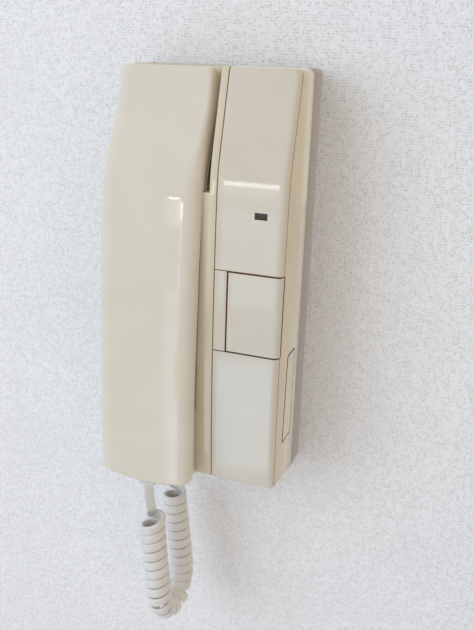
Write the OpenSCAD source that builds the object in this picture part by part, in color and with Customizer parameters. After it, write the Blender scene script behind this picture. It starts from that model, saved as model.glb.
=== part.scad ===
// Wall door-intercom handset station. Millimetres. The wall is the plane y = 0 and +Z is up.
// Every piece is drawn in x, d, z, where d is the distance from the wall, and on_wall() turns d into -y.

/* [Station] */
// Height of the station
base_h = 208; // [200:1:220]
// Wall thickness of the moulded casings
case_wall = 2.4; // [2:0.1:3]
// Radius of the station's upper corners
case_corner = 3.5; // [2.5:0.5:5]
// Radius of the station's lower corners
foot_corner = 1; // [0.6:0.1:2]
// Depth of the grey rear case
rear_d = 15; // [14:0.5:16]
// Thickness of the rear case's back, outside the bracket's pocket
rear_back = 3.8; // [3.6:0.1:4.2]
// How far the underside rises from the rear case to the front
foot_rise = 6; // [3:0.5:8]

/* [Front] */
// Largest depth of the front, from the wall
face_d = 50.6; // [49:0.2:53]
// Depth of the front at the very top
top_d = 36.1; // [34:0.2:38]
// Slope of the upper front, from vertical
ramp_a = 15.1; // [13:0.1:16]
// Height at which the front stands out furthest, from the station's foot
crown_up = 79; // [64:1:104]
// Radius of the front's long bow
crown_r = 1500; // [1300:50:2500]
// Rounding of the top and bottom edges
edge_r = 2; // [1:0.25:3]

/* [Front panels] */
// Width of the panel column
panel_w = 33.3; // [32:0.1:36]
// Thickness of the panels' and button's face
panel_t = 2; // [1.6:0.1:2.2]
// Rounding of the panels' outer shoulder
shoulder_r = 3; // [2.5:0.1:3.4]
// Depth of the bed below the panels' faces
bed_drop = 4.6; // [4.4:0.1:5.2]
// Gap around each panel
panel_gap = 0.4; // [0.3:0.05:0.6]
// Diameter of the panels' locating pegs
peg_d = 2.8; // [2.2:0.1:3.2]

/* [Release button] */
// Width of the button
button_w = 26.3; // [24:0.1:27]
// Height of the button
button_h = 39.3; // [36:0.1:42]
// Height of the button's centre
button_z = -5.9; // [-10:0.1:0]
// Gap around the button
button_gap = 0.6; // [0.4:0.05:0.8]
// Travel of the button
button_travel = 1.4; // [0.8:0.1:1.5]
// Outer diameter of the button's return springs
button_spring_d = 5; // [4:0.1:5.6]
// Wire diameter of the button's return springs
button_wire_d = 0.6; // [0.4:0.05:0.7]

/* [Visitor lamp] */
// Width of the lamp's window
lamp_w = 6.1; // [5:0.1:8]
// Height of the lamp's window
lamp_h = 3.1; // [2.6:0.1:4]
// Distance from the station's right side to the lamp's centre
lamp_in = 11.75; // [9:0.25:14]
// Height of the lamp's centre
lamp_z = 41.1; // [36:0.1:46]

/* [Cradle] */
// Width of the land between the ear pocket and the panels
land_w = 3.5; // [3:0.1:5]
// Extra width of the land at the top of the grip
step_w = 3.3; // [3.2:0.1:3.4]
// How far the land's edge runs in from there to the foot
land_run = 2.2; // [0:0.1:3]
// Gap from the ear pocket's side to the handset
side_gap = 3.2; // [3:0.1:4]
// Width of base left of the handset
left_rim = 0.8; // [0.4:0.1:2]
// Height of the ear pocket, from the top of the station
ear_h = 54.5; // [53:0.5:57]
// Depth of the hand hollow's floor, from the wall
hollow_d = 28; // [24:0.5:30]
// How far the mouth rest reaches above the handset's mouth block
rest_lap = 2; // [1:0.5:4]
// Clearance between the handset's ends and the cradle
seat_gap = 0.3; // [0.2:0.05:0.5]
// Direction in which the handset leaves its hook, above level
lift_a = 30; // [20:1:35]
// Width of the hook
hook_w = 9; // [6:0.5:12]
// Thickness of the hook
hook_t = 3; // [2.4:0.1:3.6]
// Reach of the hook from the pocket's floor
hook_reach = 8; // [6:0.5:9]

/* [Handset] */
// Width of the handset
set_w = 51.2; // [50:0.2:54]
// How much shorter the handset is than the station
set_short = 2.8; // [1:0.2:8]
// Depth of the handset's front at its fullest point, from the wall
set_face_d = 63; // [61:0.2:66]
// Depth of the handset's front at the ear end, from the wall
head_d = 36; // [35:0.2:37]
// Distance from the handset's top to where its front begins to rise
set_ramp_down = 12.8; // [9:0.1:16]
// Slope of the rise, from vertical
set_ramp_a = 28.8; // [26:0.2:31]
// Radius of the handset's long bow
set_crown_r = 1150; // [1000:50:1600]
// Height at which the handset's front is fullest, from its lower end
set_crown_up = 11.8; // [6:0.1:24]
// Radius along the handset's front edges
set_edge_r = 5; // [4:0.25:6]
// Inward slope of the handset's sides
taper_a = 25; // [20:1:27]
// Depth of the sloping part of the sides
taper_d = 11; // [9:0.5:11.5]
// Depth of the front shell, at its sides
seam_t = 9; // [8:0.25:10]
// Wall thickness of the handset's shells
set_wall = 2.2; // [1.8:0.1:2.6]
// Corner radius of the handset's outline
set_corner = 6.5; // [4:0.5:8]
// Radius of the handset's arched lower end
foot_r = 90; // [80:5:140]
// Thickness of the grip
grip_t = 18; // [17:0.5:20]
// Depth of the ear end's back, from the wall
head_back_d = 19.5; // [19:0.1:20]
// Height of the ear block
head_h = 49.4; // [47:0.2:51]
// Depth of the mouth block's back, from the wall
mouth_back_d = 36; // [34:0.5:38]
// Height of the mouth block
mouth_h = 37.8; // [35:0.2:39]

/* [Sound parts] */
// Diameter of the receiver capsule
capsule_d = 30; // [26:0.5:31]
// Thickness of the receiver capsule
capsule_t = 9; // [7:0.5:9]
// Distance from the handset's top to the receiver's centre
capsule_down = 20.1; // [19.8:0.1:21]
// Diameter of the microphone
mic_d = 9.7; // [6:0.1:10]
// Diameter of the call speaker
speaker_d = 25; // [22:0.5:25]
// Thickness of the call speaker
speaker_t = 9; // [6:0.5:9]
// Width of the sound slots
slot_w = 2; // [1.5:0.1:2.4]

/* [Hook switch] */
// Diameter of the hook plunger
plunger_d = 4; // [3.4:0.1:5]
// Travel of the hook plunger
plunger_travel = 4; // [3:0.5:4.5]
// Distance of the plunger from the handset's middle line
plunger_off = 12; // [10:0.5:14]
// Radial running clearance of the plunger
run_gap = 0.08; // [0.05:0.01:0.1]

/* [Wall bracket] */
// Width of the bracket
bracket_w = 52; // [46:1:56]
// Height of the bracket
bracket_h = 112; // [106:1:120]
// Thickness of the bracket's sheet
bracket_t = 1.2; // [1:0.1:1.4]
// Distance between the fixing slots
fixing_pitch = 83.5; // [80:0.5:86]
// Width of the fixing slots
fixing_w = 4.4; // [4:0.1:5]
// Length of the fixing slots
fixing_l = 10; // [7:0.5:12]
// Width of the cable window
window_w = 30; // [26:1:32]
// Height of the cable window
window_h = 26; // [22:1:30]

/* [Screws and boards] */
// Diameter of the screws
screw_d = 3; // [2.6:0.1:3]
// Clearance of a screw in its hole, on the radius
screw_gap = 0.05; // [0.05:0.05:0.2]
// Thickness of the circuit boards
board_t = 1.6; // [1:0.1:1.6]
// Depth of the main board's back, from the wall
main_d = 12; // [11.6:0.1:12.2]
// Width of the main board
main_w = 60; // [56:1:62]
// Height of the main board
main_h = 122; // [116:1:124]
// Width of the line transformer's winding
winding_w = 19; // [16:0.5:22]
// Height of the line transformer's winding
winding_h = 16; // [12:0.5:18]
// Thickness of the line transformer
winding_t = 9; // [7:0.5:12]
// Height of the line transformer's core
core_h = 22; // [18:0.5:26]
// Diameter of the capacitors
capacitor_d = 6.4; // [5:0.1:8]
// Height of the capacitors
capacitor_h = 10.5; // [8:0.5:13]
// Distance between the capacitors
capacitor_pitch = 11; // [9:0.5:14]
// Depth of the terminal block
terminal_d = 7; // [6:0.1:7.5]
// Height of the terminal block
terminal_h = 13; // [12:0.5:16]
// Distance between the terminals
terminal_pitch = 6; // [5:0.25:7]

/* [Cord] */
// Outer diameter of the coiled stretch
coil_d = 14.4; // [12:0.2:15]
// Width of the flat cord
ribbon_w = 5.4; // [4.6:0.1:5.6]
// Depth of the cord's outlet in the handset, behind its fullest point
relief_in = 6; // [5:0.5:8]

/* [Hidden] */
$fn = 48;

// Places across the station, from its middle
base_w = left_rim + set_w + side_gap + land_w + panel_w;
right = base_w/2;
panel_l = right - panel_w;
button_l = right - button_w;
ear_r = panel_l - land_w;
grip_r = ear_r - step_w;
set_x = ear_r - side_gap - set_w/2;
button_x = button_l + (button_w - case_wall)/2;
lamp_x = right - lamp_in;

// Places up the station
top_gap = 0.6;
top_z = base_h/2;
back_z = -base_h/2;
crown_z = back_z + crown_up;
front_z = back_z + foot_rise;
ear_z = top_z - ear_h;
set_top = top_z - top_gap;
set_foot = set_top - base_h + set_short;
set_ramp_z = set_top - set_ramp_down;
set_crown_z = set_foot + set_crown_up;
head_z = set_top - head_h;
mouth_z = set_foot + mouth_h;
rest_z = mouth_z + rest_lap;
capsule_z = set_top - capsule_down;

// Places out from the wall
bed_wall_t = bed_drop + case_wall;
ear_floor = head_back_d - 5*seat_gap;
rest_floor = mouth_back_d - seat_gap;
tiny = 0.01;

function smin(a, b, k) = let (h = max(k - abs(a - b), 0)/k) min(a, b) - h*h*k/4;
function smax(a, b, k) = -smin(-a, -b, k);
function bow(z, peak, peak_z, r) = peak - pow(z - peak_z, 2)/(2*r);

// Depth of the station's front at height z
function base_front(z) = smin(top_d + (top_z - z)*tan(ramp_a), bow(z, face_d, crown_z, crown_r), 1.5);

// Depth of the handset's front and back at height z
function set_rise(z) = smin(head_d + (set_ramp_z - z)*tan(set_ramp_a), bow(z, set_face_d, set_crown_z, set_crown_r), 6);
function set_front(z) = smax(head_d, set_rise(z), 2);
function grip_back(z) = set_front(z) - grip_t;

// Stations [d, z] up the station's front from z0 to z1, with its top and bottom edges rounded off
function front_steps(z0, z1) = [
    for (p = concat(
        [for (a = [0:22.5:67.5]) [base_front(front_z + edge_r) - edge_r*(1 - sin(a)), front_z + edge_r*(1 - cos(a))]],
        [for (i = [0:26]) let (z = front_z + edge_r + i*(top_z - front_z - 2*edge_r)/26) [base_front(z), z]],
        [for (a = [22.5:22.5:90]) [base_front(top_z - edge_r) - edge_r*(1 - cos(a)), top_z - edge_r*(1 - sin(a))]]
    )) if (p[1] > z0 + tiny && p[1] < z1 - tiny) p
];
function edge_d(z) = z < front_z + tiny ? base_front(z) - edge_r : z > top_z - tiny ? base_front(z) - edge_r : base_front(z);
function stations(z0, z1) = concat([[edge_d(z0), z0]], front_steps(z0, z1), [[edge_d(z1), z1]]);

module on_wall() { mirror([0, 1, 0]) children(); }

// Extrudes a [d, z] outline from x0 to x1
module across(x0, x1, outline) {
    translate([x0, 0, 0]) rotate([90, 0, 90]) linear_extrude(x1 - x0) polygon(outline);
}

// Extrudes an x, z shape from d0 to d1
module outward(d0, d1) {
    translate([0, d1, 0]) rotate([90, 0, 0]) linear_extrude(d1 - d0) children();
}

// A round post or bore along d
module post(x, z, d0, d1, r) {
    translate([x, d0, z]) rotate([-90, 0, 0]) cylinder(h = d1 - d0, r = r);
}

module block(x, z, w, h, d0, d1) {
    translate([x - w/2, d0, z - h/2]) cube([w, d1 - d0, h]);
}

// A rectangle with rounded corners, the lower two of radius low where it is given
module rounded(x0, z0, x1, z1, r, low = 0) {
    q = low > 0 ? low : r;
    translate([x0 + r, z0 + q]) square([x1 - x0 - 2*r, z1 - z0 - q]);
    translate([x0, z0 + q]) square([x1 - x0, z1 - z0 - r - q]);
    translate([x0 + q, z0]) square([x1 - x0 - 2*q, q]);
    for (x = [x0 + r, x1 - r]) translate([x, z1 - r]) circle(r);
    for (x = [x0 + q, x1 - q]) translate([x, z0 + q]) circle(q);
}

// Skins a closed body through rings of equal length, listed upwards
module skin(rings) {
    n = len(rings[0]);
    last = (len(rings) - 1)*n;
    polyhedron(
        points = [for (ring = rings) each ring],
        faces = concat(
            [[for (i = [0:n - 1]) i]],
            [[for (i = [n - 1:-1:0]) last + i]],
            [for (j = [0:n:last - n], i = [0:n - 1]) let (k = (i + 1) % n)
                each [[j + i, j + k + n, j + k], [j + i, j + i + n, j + k + n]]]
        )
    );
}

// A moulded face with a rounded shoulder along the station's right side
module face_slab(x0, z0, z1) {
    section = concat([[x0, shoulder_r]], [for (a = [0:22.5:90])
        [right - shoulder_r + shoulder_r*cos(a), shoulder_r*(1 - sin(a))]], [[x0, 0]]);
    skin([for (s = stations(z0, z1)) [for (p = section) [p[0], s[0] - p[1], s[1]]]]);
}

// A layer following the station's front from t0 to t1 behind the face
module layer(x0, x1, t0, t1, z0, z1) {
    steps = stations(z0, z1);
    n = len(steps) - 1;
    across(x0, x1, concat([for (s = steps) [s[0] - t0, s[1]]], [for (i = [n:-1:0]) [steps[i][0] - t1, steps[i][1]]]));
}

// Coil spring along d, as a swept wire
module coil_spring(x, z, d0, d1, outer_d, wire, turns) {
    steps = 10;
    r = (outer_d - wire)/2;
    rise = (d1 - d0 - wire)/(turns*steps);
    translate([x, d0 + wire/2, z])
        skin([for (i = [0:turns*steps]) let (a = 360*i/steps)
            [for (b = [0:60:300]) let (q = r + wire/2*cos(b)) [q*cos(a), i*rise + wire/2*sin(b), q*sin(a)]]]);
}

// ---- Wall side ----

tab_x = bracket_w/2 - 8;
tab_z = bracket_h/2 - 12;
tab_w = 8;
tab_rise = 4;
unhook = tab_rise - bracket_t + 0.5;
pocket_d = bracket_t + seat_gap;
head_room = 3;
window_r = 2;

module tabs_at() { for (x = [-tab_x, tab_x], z = [-tab_z, tab_z]) translate([x, 0, z]) children(); }

module wall_bracket() on_wall() color([0.72, 0.73, 0.75]) {
    difference() {
        outward(0, bracket_t) rounded(-bracket_w/2, -bracket_h/2, bracket_w/2, bracket_h/2, 4);
        outward(-1, bracket_t + 1) rounded(-window_w/2, -window_h/2, window_w/2, window_h/2, window_r);
        for (z = [-fixing_pitch/2, fixing_pitch/2])
            outward(-1, bracket_t + 1) rounded(-fixing_w/2, z - fixing_l/2, fixing_w/2, z + fixing_l/2, fixing_w/2 - tiny);
    }
    tabs_at() across(-tab_w/2, tab_w/2, [
        [bracket_t - tiny, 0], [rear_back + seat_gap + bracket_t, 0], [rear_back + seat_gap + bracket_t, tab_rise],
        [rear_back + seat_gap, tab_rise], [rear_back + seat_gap, bracket_t], [bracket_t - tiny, bracket_t]
    ]);
}

screw_x = right - 8;
screw_places = [[screw_x, top_z - 12], [screw_x, back_z + 22], [-screw_x, 36], [-screw_x, back_z + 12]];
screw_head_d = 5.6;
boss_r = screw_head_d/2 + 1.6;
bore_r = screw_d/2 + screw_gap;
main_z = -20;
stand_x = main_w/2 - 5;
stand_places = [for (x = [-stand_x, stand_x], z = [main_z - main_h/2 + 20, main_z + main_h/2 - 6]) [x, z]];
pilot_l = 6;

module outline(d0, d1, inset = 0) {
    outward(d0, d1)
        rounded(-right + inset, back_z + inset, right - inset, top_z - inset, case_corner - min(inset, 2),
            max(foot_corner - inset, 0.2));
}

// Room in the rear case for the head of a fixing screw, anywhere along its slot
module head_window(z) {
    w = fixing_w/2 + head_room;
    l = fixing_l/2 + head_room;
    outward(-1, rear_back + 1) rounded(-w, z - l, w, z + l, w - tiny);
}

module rear_case() on_wall() color([0.58, 0.55, 0.5]) difference() {
    union() {
        difference() {
            outline(0, rear_d);
            outline(rear_back, rear_d + 1, case_wall);
        }
        for (p = screw_places) post(p[0], p[1], rear_back - tiny, rear_d - seat_gap, boss_r);
        for (p = stand_places) post(p[0], p[1], rear_back - tiny, main_d, screw_d/2 + 1.6);
    }
    block(0, -unhook/2, bracket_w + 1, bracket_h + 1 + unhook, -1, pocket_d);
    outward(-1, rear_back + 1) rounded(-window_w/2, -window_h/2, window_w/2, window_h/2, window_r);
    tabs_at() translate([-tab_w/2 - 0.5, -1, -unhook - seat_gap])
        cube([tab_w + 1, rear_back + 2, unhook + bracket_t + 2*seat_gap]);
    for (z = [-fixing_pitch/2, fixing_pitch/2]) head_window(z);
    for (p = screw_places) {
        post(p[0], p[1], -1, rear_d + 1, bore_r);
        post(p[0], p[1], -1, rear_back + 1, screw_head_d/2 + 0.3);
    }
    for (p = stand_places) post(p[0], p[1], main_d - pilot_l, main_d + 1, bore_r);
}

screw_bite = 7;

module case_screws() on_wall() color([0.75, 0.75, 0.78]) for (p = screw_places) {
    post(p[0], p[1], rear_back - 1.2, rear_back + 1 - seat_gap/3, screw_head_d/2);
    post(p[0], p[1], rear_back, rear_d + screw_bite, screw_d/2);
}

// ---- Front housing ----

// The underside's own frame: z is out of the underside and d runs up its slope
foot_run = edge_d(front_z) - rear_d;
foot_a = atan(foot_rise/foot_run);
module on_foot() { translate([0, rear_d, back_z]) rotate([foot_a, 0, 0]) children(); }
function foot_z(d) = back_z + foot_rise*max(d - rear_d, 0)/foot_run;

// The front's [d, z] outline behind the face by t and above the underside by floor_t, closed at depth d0
function body_outline(t, d0, z1, floor_t = 0) = let (d = edge_d(front_z) - t) concat(
    [[d0, back_z + floor_t], [rear_d, back_z + floor_t]],
    t > 0 ? [[d, foot_z(d) + floor_t]] : [],
    [for (s = stations(front_z, z1)) if (floor_t == 0 || s[1] > front_z + floor_t) [s[0] - t, s[1]]],
    [[d0, z1]]
);

// Everything in front of the [d, z] line that lies t behind the face
function in_front(t) = let (s = stations(front_z, top_z), n = len(s) - 1) concat(
    [[s[0][0] - t, back_z - 1]], [for (p = s) [p[0] - t, p[1]]],
    [[s[n][0] - t, top_z + 1], [face_d + 9, top_z + 1], [face_d + 9, back_z - 1]]
);

// The handset's bay: hand hollow and mouth rest below, ear pocket above
bay_slope = 6;
function bay_floor(t) = [
    [rest_floor - t, back_z - 1], [rest_floor - t, rest_z], [hollow_d - t, rest_z + bay_slope],
    [hollow_d - t, ear_z - t]
];

hook_x = set_x;
hook_z = head_z + 3.2;
speaker_x = (grip_r + right)/2 + 1.5;
speaker_run = speaker_d/2 + 0.3;
plunger_z = rest_z - 10;
plunger_x = set_x + plunger_off;
relief_w = ribbon_w + 3;
relief_h = 6;
cord_d = 22;
window_in = 1.2;
skirt_t = 1.4;
notch_t = bed_drop;

module bay() {
    intersection() {
        across(-right - 1, grip_r, concat(bay_floor(0), [[face_d + 9, ear_z], [face_d + 9, back_z - 1]]));
        outward(0, face_d + 10) polygon([[-right - 2, back_z - 2], [grip_r - land_run, back_z - 2],
            [grip_r - land_run, back_z], [grip_r, ear_z], [grip_r, ear_z + 1], [-right - 2, ear_z + 1]]);
    }
    across(-right - 1, ear_r, [[ear_floor, ear_z], [ear_floor, top_z + 1], [face_d + 9, top_z + 1], [face_d + 9, ear_z]]);
}

module housing_cavity() {
    land_x = panel_l - panel_gap/2 - case_wall;
    floor_d = rest_floor - case_wall;
    across(ear_r + case_wall, right - case_wall, body_outline(bed_wall_t, rear_d - 1, top_z - case_wall, case_wall));
    across(grip_r + case_wall, land_x, body_outline(case_wall, rear_d - 1, ear_z - case_wall, case_wall));
    across(-right + case_wall, ear_r + case_wall + 1, concat(
        [[rear_d - 1, back_z + case_wall], [rear_d, back_z + case_wall], [floor_d, foot_z(floor_d) + case_wall]],
        [for (p = bay_floor(case_wall)) if (p[1] > back_z) p],
        [[ear_floor - case_wall, ear_z - case_wall], [ear_floor - case_wall, top_z - case_wall],
         [rear_d - 1, top_z - case_wall]]
    ));
}

module housing_blank() {
    intersection() {
        difference() {
            across(-right, right, body_outline(0, rear_d, top_z));
            across(panel_l - panel_gap/2, right - case_wall, in_front(bed_drop));
            across(right - case_wall - 1, right + 1, in_front(shoulder_r + seat_gap));
        }
        outline(rear_d, face_d + 1);
        on_foot() outward(-face_d, 2*face_d) rounded(-right, -tiny, right, 2*base_h, foot_corner);
    }
}

module front_housing() on_wall() color([0.93, 0.89, 0.8]) difference() {
    union() {
        difference() {
            housing_blank();
            bay();
            housing_cavity();
        }
        for (p = screw_places) post_to_front(p);
        hook();
        plunger_guide();
        for (p = panel_board_places) post(p[0], p[1], panel_board_d + board_t, base_front(p[1]) - bed_wall_t + 1, 2.6);
    }
    for (p = screw_places) post(p[0], p[1], rear_d - 1, rear_d + screw_bite + 1, bore_r);
    post(plunger_x, plunger_z, rear_d, rest_floor + 1, plunger_d/2 + run_gap);
    button_window();
    for (p = peg_places) post(p[0], p[1], base_front(p[1]) - bed_wall_t - 1, face_d + 1, peg_d/2 + run_gap);
    block(lamp_x, lamp_z, lamp_w + 1, lamp_h + 2, base_front(lamp_z) - bed_wall_t - 1, face_d + 1);
    for (p = panel_board_places) post(p[0], p[1], panel_board_d, panel_board_d + board_t + pilot_l, bore_r);
    on_foot() for (i = [-2:2])
        block(speaker_x, 0, speaker_d*0.7, 3*case_wall, speaker_run + 2.2*slot_w*i - slot_w/2, speaker_run + 2.2*slot_w*i + slot_w/2);
    translate([cord_x, cord_d, back_z]) cube([relief_w + 0.1, relief_h + 0.1, 20], center = true);
}

// A screw post runs from the rear case to the wall in front of it
module post_to_front(p) {
    front = p[0] > 0 ? base_front(p[1]) - bed_wall_t : p[1] > rest_z ? hollow_d - case_wall : rest_floor - case_wall;
    post(p[0], p[1], rear_d, front + 1, screw_d/2 + 1.6);
}

module hook() {
    rise = hook_reach*tan(lift_a);
    across(hook_x - hook_w/2, hook_x + hook_w/2, [
        [ear_floor - 1, hook_z - tan(lift_a)], [ear_floor + hook_reach, hook_z + rise],
        [ear_floor + hook_reach, hook_z + rise + hook_t], [ear_floor - 1, hook_z + hook_t - tan(lift_a)]
    ]);
}

guide_l = 4;
module plunger_guide() {
    post(plunger_x, plunger_z, rest_floor - case_wall - guide_l, rest_floor - case_wall + 1, plunger_d/2 + 2);
}

module button_window() {
    w = button_w - 2*window_in - case_wall;
    translate([button_l + window_in, 0, button_z - button_h/2 + window_in])
        cube([w, face_d + 1, button_h - 2*window_in]);
    across(right - case_wall - 1, right + 1, concat(
        [for (z = [button_z - button_h/2 - button_gap/2, button_z + button_h/2 + button_gap/2]) [face_d + 1, z]],
        [for (z = [button_z + button_h/2 + button_gap/2, button_z - button_h/2 - button_gap/2]) [base_front(z) - notch_t, z]]
    ));
}

// ---- Panels ----

rest_t = bed_drop - 0.05;
panel_x0 = panel_l + panel_gap/2;
skirt_x = right - case_wall - seat_gap;
peg_x = [panel_l + 4, right - 9];
upper_z0 = button_z + button_h/2 + button_gap;
lower_z1 = button_z - button_h/2 - button_gap;
upper_pegs = [for (x = peg_x, z = [upper_z0 + 12, top_z - 20]) [x, z]];
lower_pegs = [for (x = peg_x, z = [front_z + 26, lower_z1 - 10]) [x, z]];
strip_w = panel_w - button_w - button_gap;
strip_pegs = [for (z = [button_z - 13, button_z + 13]) [panel_l + strip_w/2, z]];
peg_places = concat(upper_pegs, lower_pegs, strip_pegs);

module pegs(places) {
    for (p = places) post(p[0], p[1], base_front(p[1]) - bed_wall_t - 0.6, base_front(p[1]) - panel_t + 0.3, peg_d/2);
}

// A panel's shell: the face, and a rim standing on the bed all round
module panel_shell(z0, z1) {
    difference() {
        union() {
            face_slab(panel_x0, z0, z1);
            layer(panel_x0, skirt_x, panel_t, rest_t, z0, z1);
        }
        layer(panel_x0 + skirt_t, skirt_x - skirt_t, panel_t, rest_t + 1, z0 + skirt_t, z1 - skirt_t);
    }
}

module upper_panel() on_wall() color([0.92, 0.88, 0.79]) difference() {
    union() {
        intersection() {
            panel_shell(upper_z0, top_z);
            outline(rear_d, face_d + 1);
        }
        pegs(upper_pegs);
    }
    block(lamp_x, lamp_z, lamp_w, lamp_h, top_d, face_d + 1);
}

module lower_panel() on_wall() color([0.93, 0.9, 0.82]) {
    intersection() {
        panel_shell(front_z, lower_z1);
        on_foot() outward(-face_d, 2*face_d) rounded(-right, -tiny, right, 2*base_h, foot_corner);
    }
    pegs(lower_pegs);
}

module label_strip() on_wall() color([0.9, 0.86, 0.77]) {
    z0 = lower_z1 + button_gap/2;
    z1 = upper_z0 - button_gap/2;
    x1 = panel_l + strip_w;
    difference() {
        layer(panel_x0, x1, 0, rest_t, z0, z1);
        layer(panel_x0 + skirt_t, x1 - skirt_t, panel_t, rest_t + 1, z0 + skirt_t, z1 - skirt_t);
    }
    pegs(strip_pegs);
}

lamp_flange = 0.9;
module lamp_lens() on_wall() color([0.2, 0.16, 0.14]) {
    d = base_front(lamp_z);
    block(lamp_x, lamp_z, lamp_w - 0.2, lamp_h - 0.2, d - panel_t - seat_gap, d - 1.1);
    block(lamp_x, lamp_z, lamp_w + 0.8, lamp_h + 1.4, d - panel_t - seat_gap - lamp_flange, d - panel_t - seat_gap);
}

// ---- Release button ----

button_skirt = bed_wall_t + seat_gap + 1;
hook_out = 0.9;
stem_r = 2.5;
switch_h = 3;
spring_z = [button_z - 13, button_z + 13];

module unlock_button() on_wall() color([0.93, 0.89, 0.81]) {
    clear = window_in + 0.4;
    z0 = button_z - button_h/2;
    z1 = button_z + button_h/2;
    difference() {
        union() {
            face_slab(button_l, z0, z1);
            layer(button_l + clear, skirt_x - clear, panel_t, bed_wall_t - 1, z0 + clear, z1 - clear);
        }
        layer(button_l - 1, button_l + clear, panel_t, bed_wall_t, z0 - 1, z1 + 1);
        layer(skirt_x - clear, right - 1.6, panel_t, bed_wall_t, z0 - 1, z1 + 1);
        layer(button_l + clear - 1, skirt_x - clear + 1, panel_t, bed_wall_t, z0 - 1, z0 + clear);
        layer(button_l + clear - 1, skirt_x - clear + 1, panel_t, bed_wall_t, z1 - clear, z1 + 1);
        layer(button_l + clear + skirt_t, skirt_x - clear - skirt_t, panel_t, bed_wall_t, z0 + clear + skirt_t, z1 - clear - skirt_t);
    }
    for (s = [-1, 1]) snap_lug(s);
    post(button_x, button_z, panel_board_d + board_t + switch_h + button_travel + 0.1, base_front(button_z) - panel_t + 0.3, stem_r);
}

// A lug on the skirt that catches behind the bed
module snap_lug(s) {
    z = button_z + s*(button_h/2 - window_in - 0.4);
    d = base_front(z);
    across(button_x - 3, button_x + 3, [
        [d - bed_wall_t + 1.1, z - s*skirt_t], [d - bed_wall_t + 1.1, z], [d - bed_wall_t - seat_gap, z],
        [d - bed_wall_t - seat_gap, z + s*hook_out], [d - button_skirt - 0.4, z], [d - button_skirt - 0.4, z - s*skirt_t]
    ]);
}

module button_springs() on_wall() color([0.8, 0.8, 0.82])
    for (z = spring_z) coil_spring(button_x, z, panel_board_d + board_t, base_front(z) - panel_t - 0.1, button_spring_d, button_wire_d, 5);

panel_board_d = 38;
panel_board_z0 = button_z - button_h/2 - 8;
panel_board_z1 = lamp_z + 6;
panel_board_x0 = panel_l + 3.5;
panel_board_x1 = right - case_wall - 1;
panel_board_places = [for (x = [panel_board_x0 + 3.5, panel_board_x1 - 3.5], z = [panel_board_z0 + 3.5, lamp_z - 6]) [x, z]];

module panel_board() on_wall() color([0.2, 0.42, 0.26]) difference() {
    translate([panel_board_x0, panel_board_d, panel_board_z0])
        cube([panel_board_x1 - panel_board_x0, board_t, panel_board_z1 - panel_board_z0]);
    for (p = panel_board_places) post(p[0], p[1], panel_board_d - 1, panel_board_d + board_t + 1, bore_r);
}

module panel_board_screws() on_wall() color([0.75, 0.75, 0.78]) for (p = panel_board_places) {
    post(p[0], p[1], panel_board_d - 1.6, panel_board_d, screw_head_d/2);
    post(p[0], p[1], panel_board_d - 0.5, base_front(p[1]) - bed_wall_t - 0.4, screw_d/2);
}

module unlock_switch() on_wall() color([0.15, 0.15, 0.16]) {
    d = panel_board_d + board_t;
    block(button_x, button_z, 6, 6, d, d + switch_h - 0.8);
    post(button_x, button_z, d + 1, d + switch_h, 1.7);
}

lamp_r = 1.5;
module visitor_lamp() on_wall() color([0.85, 0.3, 0.25]) {
    d = panel_board_d + board_t;
    tip = base_front(lamp_z) - panel_t - 2*seat_gap - lamp_flange - lamp_r;
    post(lamp_x, lamp_z, d, d + 1, lamp_r + 0.4);
    post(lamp_x, lamp_z, d, tip, lamp_r);
    translate([lamp_x, tip, lamp_z]) sphere(lamp_r);
}

// ---- Hook switch ----

flange_r = plunger_d/2 + 1.2;
flange_t = 1.4;
flange_d = rest_floor - case_wall - guide_l - plunger_travel - flange_t - 0.1;
hook_switch_h = 5;

module hook_plunger() on_wall() color([0.9, 0.87, 0.8]) {
    post(plunger_x, plunger_z, flange_d, mouth_back_d - seat_gap/2 - 0.7, plunger_d/2);
    translate([plunger_x, mouth_back_d - seat_gap/2 - 0.7, plunger_z]) rotate([-90, 0, 0])
        cylinder(h = 0.7, r1 = plunger_d/2, r2 = plunger_d/2 - 0.7);
    post(plunger_x, plunger_z, flange_d, flange_d + flange_t, flange_r);
}

module hook_spring() on_wall() color([0.8, 0.8, 0.82])
    coil_spring(plunger_x, plunger_z, main_d + board_t + hook_switch_h, flange_d, 2*flange_r, 0.5, 4);

module hook_switch() on_wall() color([0.16, 0.16, 0.17]) {
    d = main_d + board_t;
    block(plunger_x, plunger_z, 12.8, 6.6, d, d + hook_switch_h);
    post(plunger_x, plunger_z, d + 1, flange_d - 0.1, 1);
}

// ---- Boards and parts inside ----

module main_board() on_wall() color([0.2, 0.42, 0.26]) difference() {
    block(0, main_z, main_w, main_h, main_d, main_d + board_t);
    for (p = stand_places) post(p[0], p[1], main_d - 1, main_d + board_t + 1, bore_r);
}

module board_screws() on_wall() color([0.75, 0.75, 0.78]) for (p = stand_places) {
    post(p[0], p[1], main_d + board_t, main_d + board_t + 1.6, screw_head_d/2);
    post(p[0], p[1], main_d - pilot_l + 1, main_d + board_t + 0.5, screw_d/2);
}

terminal_r = 0.28*terminal_pitch;
terminal_z = terminal_h/2 - 3.5;
mouth_w = 0.6*terminal_pitch;
mouth_in = terminal_h/2 + 1;
terminal_x = [for (i = [-1.5:1:1.5]) i*terminal_pitch];

module terminal_block() on_wall() color([0.25, 0.27, 0.3]) difference() {
    block(0, 0, 4*terminal_pitch + 1, terminal_h, main_d - terminal_d, main_d);
    for (x = terminal_x) {
        post(x, terminal_z, main_d - terminal_d - 1, main_d - 2, terminal_r + 0.05);
        block(x, -mouth_in, mouth_w, terminal_h - 1, main_d - terminal_d + 1.5, main_d - 1.5);
    }
}

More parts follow.
